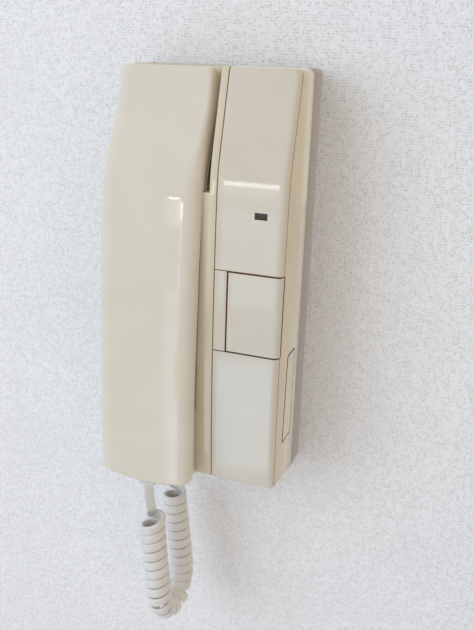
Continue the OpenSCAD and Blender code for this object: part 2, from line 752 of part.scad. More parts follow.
module terminal_screws() on_wall() color([0.78, 0.76, 0.68])
    for (x = terminal_x) difference() {
        post(x, terminal_z, main_d - terminal_d + 0.6, main_d - 2, terminal_r);
        block(x, terminal_z, 2*terminal_r + 1, 0.6, main_d - terminal_d, main_d - terminal_d + 1.3);
    }

winding_x = main_w/6;
winding_z = main_z + 40;
module line_transformer() on_wall() color([0.35, 0.33, 0.3]) {
    d = main_d + board_t;
    block(winding_x, winding_z, winding_w, winding_h, d, d + winding_t);
    block(winding_x, winding_z, 0.58*winding_w, core_h, d + winding_t/6, d + winding_t - 1);
}

capacitor_x = -0.12*main_w;
module board_capacitors() on_wall() color([0.18, 0.22, 0.38])
    for (i = [-1:1]) {
        x = capacitor_x + i*capacitor_pitch;
        post(x, main_z, main_d + board_t, main_d + board_t + capacitor_h, capacitor_d/2);
        post(x, main_z, main_d + board_t, main_d + board_t + 1.2, capacitor_d/2 + 0.3);
    }

module chime_speaker() on_wall() color([0.24, 0.24, 0.25]) on_foot()
    translate([speaker_x, speaker_run, case_wall + seat_gap]) {
        cylinder(h = 1.4, r = speaker_d/2);
        cylinder(h = 4, r1 = speaker_d/2 - 1, r2 = speaker_d/4 + 1);
        cylinder(h = speaker_t, r = speaker_d/4 + 1);
    }

// ---- Handset ----

half_w = set_w/2;
function side_x(t, o) = half_w - o - tan(taper_a)*max(t - set_edge_r, 0);

// Heights of the handset's stations
set_heights = concat(
    [set_foot, set_foot + 1.2, set_foot + 3], [for (i = [0:2]) set_foot + 10 + i*(mouth_h - 16)/2],
    [mouth_z, mouth_z + 4], [for (i = [1:8]) mouth_z + 4 + i*(head_z - mouth_z - 50)/8],
    [for (i = [7:-1:1]) head_z - 4 - 6*i], [head_z - 4, head_z], [for (i = [1:5]) head_z + 6*i],
    [for (i = [1:5]) head_z + 30 + i*(head_h - 32)/5], [set_top - 0.8, set_top]
);
function round_off(z) = let (u = max(z - set_top + 2, set_foot + 3 - z, 0)/(z > 0 ? 2 : 3)) (z > 0 ? 2 : 3)*(1 - sqrt(1 - u*u));

// Half a front section, from the seam round to the face; o is the inset
function front_half(z, o) = concat(
    [[side_x(seam_t, o), set_front(z) - seam_t - (o > 0 ? 1 : 0)]],
    [for (a = [0:18:90]) [half_w - set_edge_r + (set_edge_r - o)*cos(a),
        set_front(z) - (o > 0 ? 0 : round_off(z)) - set_edge_r + (set_edge_r - o)*sin(a)]]
);

// Depth of the back at height z, from the wall
function set_back(z) =
    z > head_z ? head_back_d :
    z > head_z - 4 ? head_back_d + (grip_back(head_z - 4) - head_back_d)*(head_z - z)/4 :
    z > mouth_z + 4 ? grip_back(z) :
    z > mouth_z ? mouth_back_d + (grip_back(mouth_z + 4) - mouth_back_d)*(z - mouth_z)/4 :
    mouth_back_d;

// Half a back section, from the back's edge out to the seam
function back_half(z, o) =
    let (t = min(set_edge_r + taper_d, set_front(z) - set_back(z) - 3.2), x = side_x(t, o))
    [[x - 2, set_back(z) + o], [x, set_back(z) + 2], [x, set_front(z) - t],
     [side_x(seam_t, o), set_front(z) - seam_t + (o > 0 ? 1 : 0)]];

function mirrored(half) = [for (i = [len(half) - 1:-1:0]) [-half[i][0], half[i][1]]];
function ring_at(half, z) = [for (p = concat(half, mirrored(half))) [set_x + p[0], p[1], z]];

// The handset's outline seen from the front, with an arched lower end
module set_outline(o) {
    r = set_corner - min(o, 2);
    side = half_w - o;
    cz = set_foot + foot_r - sqrt(pow(foot_r - set_edge_r, 2) - pow(half_w - set_edge_r, 2));
    reach = (half_w - set_edge_r)*foot_r/(foot_r - set_edge_r);
    translate([set_x, 0]) {
        translate([-side, cz]) square([2*side, set_top - o - r - cz]);
        translate([-side + r, cz]) square([2*(side - r), set_top - o - cz]);
        for (s = [-1, 1]) {
            translate([s*(side - r), set_top - o - r]) circle(r);
            translate([s*(half_w - set_edge_r), cz]) circle(set_edge_r - o);
        }
        intersection() {
            translate([0, set_foot + foot_r]) circle(foot_r - o, $fn = 96);
            translate([-reach, set_foot - 1]) square([2*reach, cz - set_foot + 2]);
        }
    }
}

set_screw_places = [[set_x, mouth_z - 6], [set_x, head_z - 16]];
set_screw_l = 11;
set_head_t = 1.8;
set_boss_t = set_head_t + 2;
relief_d = set_face_d - relief_in;

module relief_hole(extra) {
    translate([set_x, relief_d, set_foot]) cube([relief_w + extra, relief_h - 1 + extra, 12], center = true);
}

module handset_front_shell() on_wall() color([0.94, 0.9, 0.83]) difference() {
    union() {
        difference() {
            intersection() {
                skin([for (z = set_heights) ring_at(front_half(z, 0), z)]);
                outward(10, set_face_d + 1) set_outline(0);
            }
            intersection() {
                skin([for (z = set_heights) ring_at(front_half(z, set_wall), z)]);
                outward(10, set_face_d + 1) set_outline(set_wall);
            }
        }
        for (p = set_screw_places)
            post(p[0], p[1], set_back(p[1]) + set_boss_t + 0.1, set_front(p[1]) - set_wall + 0.5, screw_d/2 + 1.6);
    }
    for (p = set_screw_places)
        post(p[0], p[1], set_back(p[1]), set_back(p[1]) + set_screw_l + 1, bore_r);
    relief_hole(0.1);
}

cap_d = capsule_d + 4;
cap_t = 1.2;
ledge = 2.2;
function slot_fall(d) = d*tan(lift_a);

module handset_back_shell() on_wall() color([0.93, 0.89, 0.81]) difference() {
    union() {
        difference() {
            intersection() {
                skin([for (z = set_heights) ring_at(back_half(z, 0), z)]);
                outward(10, set_face_d + 1) set_outline(0);
            }
            intersection() {
                skin([for (z = set_heights) ring_at(back_half(z, set_wall), z)]);
                outward(10, set_face_d + 1) set_outline(set_wall);
            }
        }
        difference() {
            post(set_x, capsule_z, head_back_d + 1, head_back_d + set_wall + 4, capsule_d/2 + 1.8);
            post(set_x, capsule_z, head_back_d, head_back_d + set_wall + 5, capsule_d/2 + 0.1);
        }
        post(set_x, mic_z, mouth_back_d + 1, mouth_back_d + set_wall + 4, mic_d/2 + 2.8);
        for (p = set_screw_places)
            post(p[0], p[1], set_back(p[1]) + 1, set_back(p[1]) + set_boss_t, screw_head_d/2 + 1.6);
    }
    post(set_x, capsule_z, head_back_d - 1, head_back_d + set_wall + 1, cap_d/2 - ledge);
    post(set_x, capsule_z, head_back_d - 1, head_back_d + cap_t, cap_d/2 + 0.05);
    post(set_x, mic_z, mouth_back_d + set_wall, mouth_back_d + set_wall + 5, mic_d/2 + 1.25);
    for (x = [-3, 0, 3]) post(set_x + x, mic_z, mouth_back_d - 1, mouth_back_d + set_wall + 1, 0.8);
    for (p = set_screw_places) {
        post(p[0], p[1], set_back(p[1]) - 1, set_back(p[1]) + set_boss_t + 1, bore_r);
        post(p[0], p[1], set_back(p[1]) - 1, set_back(p[1]) + set_head_t + 0.4, screw_head_d/2 + 0.15);
    }
    hook_slot();
}

mic_z = set_foot + 16;

module handset_screws() on_wall() color([0.75, 0.75, 0.78]) for (p = set_screw_places) {
    post(p[0], p[1], set_back(p[1]) + 0.4, set_back(p[1]) + 0.4 + set_head_t, screw_head_d/2);
    post(p[0], p[1], set_back(p[1]) + 1, set_back(p[1]) + set_screw_l, screw_d/2);
}

// The slot that hangs on the hook: its top edge rests there
module hook_slot() {
    z0 = hook_z + slot_fall(head_back_d - ear_floor) - 1;
    z1 = hook_z + slot_fall(head_back_d + set_wall - ear_floor) + hook_t + seat_gap;
    translate([hook_x - hook_w/2 - 1, head_back_d - 1, z0]) cube([hook_w + 2, set_wall + 2, z1 - z0]);
}

module ear_cap() on_wall() color([0.92, 0.88, 0.8]) difference() {
    post(set_x, capsule_z, head_back_d, head_back_d + cap_t - 0.05, cap_d/2);
    post(set_x, capsule_z, head_back_d - 1, head_back_d + 2, 1);
    for (ring = [1, 2], i = [0:6*ring - 1]) let (a = 60*i/ring, r = ring*5)
        post(set_x + r*cos(a), capsule_z + r*sin(a), head_back_d - 1, head_back_d + 2, 1);
}

ring_t = 1.5;
module receiver_ring() on_wall() color([0.2, 0.2, 0.2]) difference() {
    post(set_x, capsule_z, head_back_d + set_wall, head_back_d + set_wall + ring_t, capsule_d/2 - 0.3);
    post(set_x, capsule_z, head_back_d, head_back_d + set_wall + ring_t + 1, capsule_d/2 - 3);
}

module receiver_capsule() on_wall() color([0.3, 0.3, 0.32]) {
    d = head_back_d + set_wall + ring_t;
    post(set_x, capsule_z, d, d + 3, capsule_d/2);
    post(set_x, capsule_z, d + 2, d + capsule_t, capsule_d/2 - 5);
}

boot_t = 6.5;
module microphone_boot() on_wall() color([0.14, 0.14, 0.15]) {
    d = mouth_back_d + set_wall;
    difference() {
        post(set_x, mic_z, d, d + boot_t, mic_d/2 + 1.2);
        post(set_x, mic_z, d + 1, d + boot_t + 1, mic_d/2 + 0.05);
        post(set_x, mic_z, d - 1, d + 2, 1.5);
    }
}

module microphone() on_wall() color([0.78, 0.78, 0.8])
    post(set_x, mic_z, mouth_back_d + set_wall + 1, mouth_back_d + set_wall + boot_t - 0.5, mic_d/2);

module handset_relief() on_wall() color([0.85, 0.83, 0.78]) {
    translate([set_x, relief_d, set_foot + 1]) cube([relief_w, relief_h - 1, 8], center = true);
    translate([set_x, relief_d, set_foot + 4.2]) cube([relief_w + 3, relief_h + 1, 1.6], center = true);
}

cord_x = -21.5;
base_exit = back_z - 4;
base_seat = foot_z(cord_d + relief_h/2 + 1) + case_wall + 0.1;
flange = 1.6;
module base_relief() on_wall() color([0.85, 0.83, 0.78]) {
    block(cord_x, (base_exit + base_seat)/2 + flange/4, relief_w, base_seat - base_exit + flange/2,
        cord_d - relief_h/2, cord_d + relief_h/2);
    block(cord_x, base_seat + flange/2, relief_w + 3, flange, cord_d - relief_h/2 - 1, cord_d + relief_h/2 + 1);
}

// ---- Cord ----

tail_r = ribbon_w/2;
set_exit = set_foot - 3;
// The cord's route, [x, d, z]: down from the handset, round, and up to the base, with z below the station's foot
function hung(points) = [for (p = points) [p[0], p[1], back_z - p[2]]];
set_route = concat(
    [[set_x, relief_d, set_exit], [set_x, relief_d, set_exit - 3]],
    hung([[-20, 55.5, 10], [-21, 52, 18], [-22, 50, 24], [-22, 50, 27]])
);
coil_route = hung([
    [-22, 50, 27], [-22, 50, 30], [-20, 50, 48], [-18, 50, 66], [-17, 50, 84], [-17, 48, 92],
    [-16, 43, 98], [-16, 37, 100], [-15, 31, 98], [-15, 26, 92], [-15, 24, 84], [-16, 23, 66],
    [-19, 22, 46], [-21, 22, 27], [-21, 22, 24]
]);
base_route = concat(
    hung([[-21, 22, 24], [-21, 22, 21], [cord_x, cord_d, 9]]),
    [[cord_x, cord_d, base_exit]]
);

function unit(v) = v/norm(v);
function heading(route, i) = unit(route[min(i + 1, len(route) - 1)] - route[max(i - 1, 0)]);
function across_of(t) = unit(cross(t, [1, 0, 0.1]));

// A tube of radius r swept along a route with n sides
module tube(route, r, n) {
    skin([for (i = [0:len(route) - 1])
        let (t = heading(route, i), u = across_of(t), v = cross(t, u))
            [for (k = [0:n - 1]) route[i] + r*(cos(360*k/n)*u + sin(360*k/n)*v)]]);
}

module handset_tail() on_wall() color([0.8, 0.78, 0.75]) tube(set_route, tail_r, 10);
module curly_cord() on_wall() color([0.8, 0.78, 0.75]) tube(coil_route, coil_d/2, 12);
module base_tail() on_wall() color([0.8, 0.78, 0.75]) tube(base_route, tail_r, 10);

wall_bracket();
rear_case();
front_housing();
upper_panel();
lower_panel();
label_strip();
case_screws();
unlock_button();
button_springs();
unlock_switch();
lamp_lens();
visitor_lamp();
hook_plunger();
hook_spring();
hook_switch();
panel_board();
panel_board_screws();
main_board();
board_screws();
terminal_block();
terminal_screws();
line_transformer();
board_capacitors();
chime_speaker();
handset_front_shell();
handset_back_shell();
handset_screws();
ear_cap();
receiver_capsule();
receiver_ring();
microphone();
microphone_boot();
handset_relief();
handset_tail();
curly_cord();
base_tail();
base_relief();
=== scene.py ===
import math

import bmesh
import bpy
from mathutils import Matrix, Vector


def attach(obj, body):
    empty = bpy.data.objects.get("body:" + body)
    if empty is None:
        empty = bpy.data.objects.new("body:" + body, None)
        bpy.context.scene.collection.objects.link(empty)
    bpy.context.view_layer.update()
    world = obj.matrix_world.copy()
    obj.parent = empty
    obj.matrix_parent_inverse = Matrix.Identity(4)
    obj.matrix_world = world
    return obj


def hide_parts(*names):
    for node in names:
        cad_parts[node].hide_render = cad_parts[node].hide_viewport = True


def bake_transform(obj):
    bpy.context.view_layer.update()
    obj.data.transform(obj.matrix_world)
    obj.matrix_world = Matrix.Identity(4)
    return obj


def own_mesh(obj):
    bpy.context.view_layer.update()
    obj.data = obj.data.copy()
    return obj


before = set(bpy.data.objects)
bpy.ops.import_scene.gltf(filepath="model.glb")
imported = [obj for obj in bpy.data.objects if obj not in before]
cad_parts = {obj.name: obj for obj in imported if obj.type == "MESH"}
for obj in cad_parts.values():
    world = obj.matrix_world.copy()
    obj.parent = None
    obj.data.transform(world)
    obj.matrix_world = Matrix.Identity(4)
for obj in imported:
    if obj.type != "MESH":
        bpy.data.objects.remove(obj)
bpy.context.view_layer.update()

# Shapes below are drawn in millimetres: x to the right, depth out from the wall, z up.
mm = 0.001


def toScene(p):
    return Vector((p[0] * mm, -p[1] * mm, p[2] * mm))


camera = dict(place=(132.17, 352.91, 108.47), turn=19.58, tilt=19.69, roll=1.79, lens=41.405, sensor=36)


def makeCamera(c):
    data = bpy.data.cameras.new("camera")
    data.lens = c["lens"]
    data.sensor_width = c["sensor"]
    obj = bpy.data.objects.new("camera", data)
    turn, tilt, roll = (math.radians(c[k]) for k in ("turn", "tilt", "roll"))
    ahead = Vector((-math.sin(turn) * math.cos(tilt), math.cos(turn) * math.cos(tilt), -math.sin(tilt)))
    level = ahead.cross(Vector((0, 0, 1))).normalized()
    upright = level.cross(ahead)
    side = level * math.cos(roll) + upright * math.sin(roll)
    up = upright * math.cos(roll) - level * math.sin(roll)
    axes = Matrix((side, up, -ahead)).transposed().to_4x4()
    obj.matrix_world = Matrix.Translation(toScene(c["place"])) @ axes
    bpy.context.collection.objects.link(obj)
    bpy.context.scene.camera = obj


makeCamera(camera)
print("camera set")


def socket(node, name, value):
    node.inputs[name].default_value = value


def linear(c):
    return tuple(v / 12.92 if v <= 0.04045 else ((v + 0.055) / 1.055) ** 2.4 for v in c) + (1,)


def rgb(r, g, b):
    return linear((r / 255, g / 255, b / 255))


surface = dict(patchDetail=4, patchEdges=(0.35, 0.65), grainDetail=3, grainDepth=0.0002)


# A moulded or painted finish: two close tones in soft patches, a roughness that wanders and a fine surface
# grain. The sizes of its patches and grain are in millimetres.
def finish(name, tone, tone2, rough=(0.3, 0.4), grain=0.04, grainSize=0.4, patch=20, metallic=0, coat=0):
    mat = bpy.data.materials.new(name)
    mat.use_nodes = True
    nodes, links = mat.node_tree.nodes, mat.node_tree.links
    shader = nodes["Principled BSDF"]
    socket(shader, "Metallic", metallic)
    socket(shader, "Coat Weight", coat)
    place = nodes.new("ShaderNodeTexCoord").outputs["Object"]
    patches = nodes.new("ShaderNodeTexNoise")
    socket(patches, "Scale", 1000 / patch)
    socket(patches, "Detail", surface["patchDetail"])
    links.new(place, patches.inputs["Vector"])
    tones = nodes.new("ShaderNodeValToRGB")
    for stop, position, colour in zip(tones.color_ramp.elements, surface["patchEdges"], (tone, tone2)):
        stop.color = rgb(*colour)
        stop.position = position
    links.new(patches.outputs["Fac"], tones.inputs["Fac"])
    links.new(tones.outputs["Color"], shader.inputs["Base Color"])
    shine = nodes.new("ShaderNodeMapRange")
    socket(shine, "To Min", rough[0])
    socket(shine, "To Max", rough[1])
    links.new(patches.outputs["Fac"], shine.inputs["Value"])
    links.new(shine.outputs["Result"], shader.inputs["Roughness"])
    fine = nodes.new("ShaderNodeTexNoise")
    socket(fine, "Scale", 1000 / grainSize)
    socket(fine, "Detail", surface["grainDetail"])
    links.new(place, fine.inputs["Vector"])
    bump = nodes.new("ShaderNodeBump")
    socket(bump, "Strength", grain)
    socket(bump, "Distance", surface["grainDepth"])
    links.new(fine.outputs["Fac"], bump.inputs["Height"])
    links.new(bump.outputs["Normal"], shader.inputs["Normal"])
    return mat


finishes = dict(
    cream=finish("creamPlastic", (205, 196, 179), (208, 199, 183), (0.06, 0.1), 0.003),
    housing=finish("housingPlastic", (208, 196, 172), (211, 199, 176), (0.08, 0.13), 0.003),
    pale=finish("palePlastic", (204, 197, 183), (207, 200, 186), (0.05, 0.09), 0.003),
    handset=finish("handsetPlastic", (212, 204, 188), (215, 207, 191), (0.05, 0.08), 0.003),
    # painted shade for the ear pocket's wall beside the handset
    pocketShade=finish("paintedPocketShade", (170, 146, 110), (178, 154, 118), (0.4, 0.5), 0.05, 0.5, 8),
    # painted shade and soiling for the seams between the parts
    seamShadeAndDirt=finish("paintedSeamShadeAndDirt", (138, 104, 66), (150, 116, 76), (0.5, 0.6), 0.1, 0.5, 5),
    grey=finish("greyPlastic", (158, 150, 139), (163, 155, 144), (0.42, 0.52), 0.12, 0.6),
    zinc=finish("zincSheet", (176, 178, 182), (188, 190, 194), (0.28, 0.42), 0.05, 1.5, 8, metallic=1),
    screw=finish("screwSteel", (182, 183, 188), (196, 197, 202), (0.22, 0.35), 0.05, 0.5, 3, metallic=1),
    spring=finish("springSteel", (168, 170, 176), (184, 186, 192), (0.2, 0.3), 0.04, 0.5, 3, metallic=1),
    brass=finish("terminalBrass", (196, 164, 96), (206, 176, 108), (0.25, 0.4), 0.05, 0.5, 3, metallic=1),
    black=finish("blackPlastic", (30, 30, 32), (38, 38, 40), (0.4, 0.5), 0.08),
    lens=finish("darkLens", (56, 42, 34), (64, 48, 39), (0.35, 0.4), 0.01),
    red=finish("redLamp", (176, 54, 44), (190, 62, 50), (0.1, 0.16), 0.01, 0.4, 6, coat=0.4),
    board=finish("greenBoard", (38, 86, 54), (46, 98, 62), (0.35, 0.5), 0.06, 0.8, 12),
    iron=finish("ironCore", (78, 74, 70), (92, 88, 84), (0.4, 0.6), 0.1, 0.6, 5, metallic=1),
    sleeve=finish("blueSleeve", (38, 48, 92), (46, 58, 106), (0.3, 0.4), 0.03, 0.4, 6),
    can=finish("canMetal", (190, 190, 194), (202, 202, 206), (0.3, 0.4), 0.05, 0.5, 6, metallic=1),
    rubber=finish("blackRubber", (26, 26, 27), (34, 34, 35), (0.6, 0.75), 0.15, 0.5, 6),
    boot=finish("cordRubber", (204, 201, 196), (209, 206, 201), (0.45, 0.55), 0.1, 0.5, 8),
    cord=finish("cordJacket", (213, 209, 204), (218, 214, 210), (0.32, 0.42), 0.05, 0.5, 12),
    plate=finish("labelPlate", (214, 205, 186), (218, 209, 190), (0.35, 0.42), 0.03, 0.4, 10),
    outline=finish("labelOutline", (44, 36, 30), (52, 44, 36), (0.4, 0.5), 0.03, 0.4, 10),
)
print("finishes mixed")


# The lesser of two values, rounded over where they are within k of each other
def smoothMin(a, b, k):
    h = max(k - abs(a - b), 0) / k
    return min(a, b) - h * h * k / 4


def smoothMax(a, b, k):
    return -smoothMin(-a, -b, k)


def bow(z, peak, height, radius):
    return peak - (z - height) ** 2 / (2 * radius)


def ease(t):
    t = min(max(t, 0), 1)
    return t * t * (3 - 2 * t)


# From 0 to 1 as the way along passes a mark: it starts the lead before the mark and takes the run
def passing(way, mark, lead, run):
    return ease((way - mark + lead) / run)


def slopeOf(degrees):
    return math.tan(math.radians(degrees))


def quarter(n):
    return [math.pi / 2 * i / n for i in range(n + 1)]


def spread(start, stop, step):
    n = max(1, math.ceil(abs(stop - start) / step))
    return [start + (stop - start) * i / n for i in range(n + 1)]


def joined(*runs):
    out = []
    for run in runs:
        out += run if not out else run[1:]
    return out


def meshPiece(name, points, faces, material, body=None, angle=35):
    mesh = bpy.data.meshes.new(name)
    mesh.from_pydata([toScene(p) for p in points], [], faces)
    obj = bpy.data.objects.new(name, mesh)
    bpy.context.collection.objects.link(obj)
    weld(mesh)
    mesh.materials.append(material)
    shade(obj, angle)
    if body:
        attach(obj, body)
    return obj


def weld(mesh):
    bm = bmesh.new()
    bm.from_mesh(mesh)
    bmesh.ops.remove_doubles(bm, verts=bm.verts, dist=mm / 1000)
    bmesh.ops.recalc_face_normals(bm, faces=bm.faces)
    bm.to_mesh(mesh)
    bm.free()


def shade(obj, angle):
    for other in bpy.context.selected_objects:
        other.select_set(False)
    bpy.context.view_layer.objects.active = obj
    obj.select_set(True)
    bpy.ops.object.shade_smooth_by_angle(angle=math.radians(angle))
    obj.select_set(False)


# Faces between rings of n points that follow each other
def band(n, rows):
    faces = []
    for j in range(0, (rows - 1) * n, n):
        faces += [(j + i, j + (i + 1) % n, j + n + (i + 1) % n, j + n + i) for i in range(n)]
    return faces


# A closed body through rings of points, each ring with the same number
def skin(rings):
    n = len(rings[0])
    points = [p for ring in rings for p in ring]
    ends = [tuple(range(n - 1, -1, -1)), tuple((len(rings) - 1) * n + i for i in range(n))]
    return points, band(n, len(rings)) + ends


def boxMesh(x0, x1, d0, d1, z0, z1):
    return skin([[(x0, d0, z), (x1, d0, z), (x1, d1, z), (x0, d1, z)] for z in (z0, z1)])


def rod(x, z, d0, d1, r, sides=32):
    turn = [2 * math.pi * i / sides for i in range(sides)]
    return skin([[(x + r * math.cos(a), d, z + r * math.sin(a)) for a in turn] for d in (d0, d1)])


def cutAway(obj, *shapes, angle=35, solver="EXACT"):
    for shape in shapes:
        cutter = meshPiece("cutter", *shape, obj.data.materials[0])
        cut = obj.modifiers.new("cut", "BOOLEAN")
        cut.operation, cut.solver, cut.object = "DIFFERENCE", solver, cutter
        applyAll(obj)
        bpy.data.objects.remove(cutter)
    shade(obj, angle)


def applyAll(obj):
    bpy.context.view_layer.update()
    done = bpy.data.meshes.new_from_object(obj.evaluated_get(bpy.context.evaluated_depsgraph_get()))
    obj.modifiers.clear()
    obj.data = done


# Painted shade, with soiling in the seams: gives the faces that the test picks, by middle and normal, a
# darker brown
def paintShadeAndDirt(obj, picked, look="seamShadeAndDirt"):
    obj.data.materials.append(finishes[look])
    last = len(obj.data.materials) - 1
    for face in obj.data.polygons:
        c = face.center / mm
        if picked(c.x, -c.y, c.z, face.normal):
            face.material_index = last


# Tails are the stretches before the first turn and after the last. A turn in, turn out or grow in says how
# far from the coils it starts and the length it takes; at grow out the coil has shrunk to nothing. Longest is
# the longest step between the rings of a tail, and a turn has the given number of rings.
cord = dict(width=5.4, thick=2.4, roundness=0.72, ribs=4, ribDepth=0.06, sides=32, step=0.25, longest=1.2,
            radius=6.0, perTurn=24, startTurn=-35, firstTail=28.6, lastTail=24.5,
            turnIn=(1, 2), turnOut=(3, 4), growIn=(10, 11), growOut=5,
            legPitch=5.9, backPitch=5.72, backRun=20, bendPitch=7.8, bendReach=24, bendGain=1.8,
            lean=0.02, backLean=-0.14, topLean=0.35, topReach=9, bendLean=0.4)
cordLine = [(-19.6, 57, -104.8), (-19.6, 57, -107.8), (-19.7, 56, -114), (-20.2, 53, -122), (-20.4, 51, -129),
            (-20.6, 50, -140), (-19.6, 50, -154), (-18.3, 50, -168), (-17, 50, -181), (-16.6, 48.3, -189),
            (-16.2, 43, -195.7), (-15.8, 36.5, -198), (-15.4, 30, -196), (-15.2, 25.3, -189),
            (-15.2, 23.6, -181), (-16.4, 23, -168), (-18.7, 22.3, -150), (-20.6, 22, -134),
            (-21.2, 22, -120), (-21.5, 22, -112), (-21.5, 22, -108)]


# Even points along a smooth curve through the line's points
def smoothLine(line, step, parts=40):
    line = [Vector(p) for p in line]
    line = [2 * line[0] - line[1]] + line + [2 * line[-1] - line[-2]]
    fine = []
    for i in range(1, len(line) - 2):
        a, b, c, d = line[i - 1:i + 3]
        leave, arrive = (c - a) / 2, (d - b) / 2
        gap = (c - b).length
        leave *= gap / max((c - a).length / 2, 1e-9)
        arrive *= gap / max((d - b).length / 2, 1e-9)
        for j in range(parts):
            t = j / parts
            near = b * (2 * t**3 - 3 * t**2 + 1) + leave * (t**3 - 2 * t**2 + t)
            fine.append(near + c * (3 * t**2 - 2 * t**3) + arrive * (t**3 - t**2))
    fine.append(line[-2])
    return evenly(fine, step)


def evenly(points, step):
    lengths = [0]
    for a, b in zip(points, points[1:]):
        lengths.append(lengths[-1] + (b - a).length)
    n = round(lengths[-1] / step)
    out, k = [], 0
    for i in range(n + 1):
        s = lengths[-1] * i / n
        while k < len(lengths) - 2 and lengths[k + 1] < s:
            k += 1
        t = (s - lengths[k]) / max(lengths[k + 1] - lengths[k], 1e-9)
        out.append(points[k].lerp(points[k + 1], min(max(t, 0), 1)))
    return out


# A ribbed flat strap round a point: the wide faces are scalloped into ribs
def cordRing(p, across, out, c):
    ring = []
    for i in range(c["sides"]):
        turn = 2 * math.pi * i / c["sides"]
        x = math.copysign(abs(math.cos(turn)) ** c["roundness"], math.cos(turn))
        y = math.copysign(abs(math.sin(turn)) ** c["roundness"], math.sin(turn))
        y *= 1 - c["ribDepth"] - c["ribDepth"] * math.cos(math.pi * c["ribs"] * (x + 1))
        ring.append(tuple(p + across * x * c["width"] / 2 + out * y * c["thick"] / 2))
    return ring


# Winds the cord round its line: gives its points, each with the way out from the line, and the turn count
def woundLine(c):
    step = c["step"]
    axis = smoothLine(cordLine, step)
    n = len(axis)
    lowest = min(range(n), key=lambda i: axis[i].z)
    side, phase = Vector((0, -1, 0)), math.radians(c["startTurn"])
    wound, mark, lastAt = [], -9, -9
    for i in range(n):
        s, fromEnd, fromBend = i * step, (n - 1 - i) * step, (i - lowest) * step
        ahead = (axis[min(i + 1, n - 1)] - axis[max(i - 1, 0)]).normalized()
        side = (side - ahead * side.dot(ahead)).normalized()  # carried along the line without twisting
        bend = min(1, ease(1 - abs(fromBend) / c["bendReach"]) * c["bendGain"])
        back = ease(fromBend / c["backRun"] + 0.5)
        pitch = c["legPitch"] + (c["backPitch"] - c["legPitch"]) * back
        pitch += (c["bendPitch"] - pitch) * bend
        turning = passing(s, c["firstTail"], *c["turnIn"]) * passing(fromEnd, c["lastTail"], *c["turnOut"])
        phase += turning * step / pitch * 2 * math.pi
        out = c["radius"] * passing(s, c["firstTail"], *c["growIn"])
        out *= passing(fromEnd, c["growOut"], 0, c["lastTail"] - c["growOut"])
        if phase - mark > 2 * math.pi / c["perTurn"] or s - lastAt > c["longest"] or i == n - 1:
            outward = side * math.cos(phase) - ahead.cross(side) * math.sin(phase)
            lean = c["lean"] + (c["backLean"] - c["lean"]) * back
            lean += c["topLean"] * math.exp(-max(s - c["firstTail"], 0) / c["topReach"])
            lean *= 1 - (1 - c["bendLean"]) * bend
            wound.append((axis[i] + outward * out + Vector((0, 0, lean * out * outward.x)), outward))
            mark, lastAt = phase, s
    return wound, (phase - math.radians(c["startTurn"])) / (2 * math.pi)


def makeCord(c):
    wound, turns = woundLine(c)
    rings, last = [], len(wound) - 1
    for k, (p, outward) in enumerate(wound):
        ahead = (wound[min(k + 1, last)][0] - wound[max(k - 1, 0)][0]).normalized()
        out = (outward - ahead * outward.dot(ahead)).normalized()
        rings.append(cordRing(p, ahead.cross(out), out, c))
    obj = meshPiece("curlyCord", *skin(rings), finishes["cord"], angle=50)
    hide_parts("handset_tail", "curly_cord", "base_tail")
    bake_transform(obj)


makeCord(cord)
print("cord made")


# The face over the panels: a ramp from the top runs into a long bow, and its right edge is a round shoulder.
# Fade is the depth behind the face over which a drop at an edge dies out.
station = dict(top=104, front=-98, right=46, topDepth=36.1, slope=15.1, bulge=50.6, crown=-25, bowRadius=1500,
               blend=1.5, edge=2, corner=3.5, footCorner=1, shoulder=3, seam=0.4, fade=3, rows=1.6)
panels = dict(left=12.9, upperFrom=14.35, lowerTo=-26.15, face=2, side=2.6, undercut=0.45, edge=3, rest=4.55,
              rim=1.4, skirt=43.3)
windowCut = dict(x=34.25, z=41.1, wide=6.1, high=3.1, depths=(30, 60))


def stationFront(z):
    s = station
    ramp = s["topDepth"] + (s["top"] - z) * slopeOf(s["slope"])
    return smoothMin(ramp, bow(z, s["bulge"], s["crown"], s["bowRadius"]), s["blend"])


def roundDrop(gap, r):
    return r - math.sqrt(max(r * r - (r - gap) ** 2, 0)) if gap < r else 0


def endDrop(z):
    return roundDrop(station["top"] - z, station["edge"]) + roundDrop(z - station["front"], station["edge"])


def cornerShift(z):
    s = station
    return roundDrop(s["top"] - z, s["corner"]) + roundDrop(z - s["front"], s["footCorner"])


# Heights between two ends, close together at the ends, where the edges turn
def levels(z0, z1):
    fine = [0, 0.06, 0.15, 0.25, 0.35, 0.7, 1.2, 1.8, 2.5, 3.5]
    middle = spread(z0 + fine[-1], z1 - fine[-1], station["rows"])[1:-1]
    return [z0 + f for f in fine] + middle + [z1 - f for f in reversed(fine)]


# The rounded edge of a face that runs right (way 1) or left (-1) from x: x and depth behind the front
def seamEdge(x, seam, way=1):
    return [(x + way * seam * (1 - math.cos(a)), seam * (1 - math.sin(a))) for a in quarter(3)]


# Section of a moulded face: from the left edge round the shoulder and back under
def faceSection(x0, under, shift):
    s = station
    right, r, start = s["right"] - shift, s["shoulder"], x0 + s["seam"]
    across = [(start + (right - r - x0 - s["seam"]) * i / 10, 0) for i in range(1, 11)]
    shoulder = [(right - r + r * math.sin(a), r * (1 - math.cos(a))) for a in quarter(10)[1:]]
    below = [(right + x, t) for x, t in under] + [(x0, under[-1][1])]
    return seamEdge(x0, s["seam"]) + across + shoulder + below


def sunk(t, deep):
    return deep + t * (1 - deep / station["fade"]) if t < station["fade"] else t


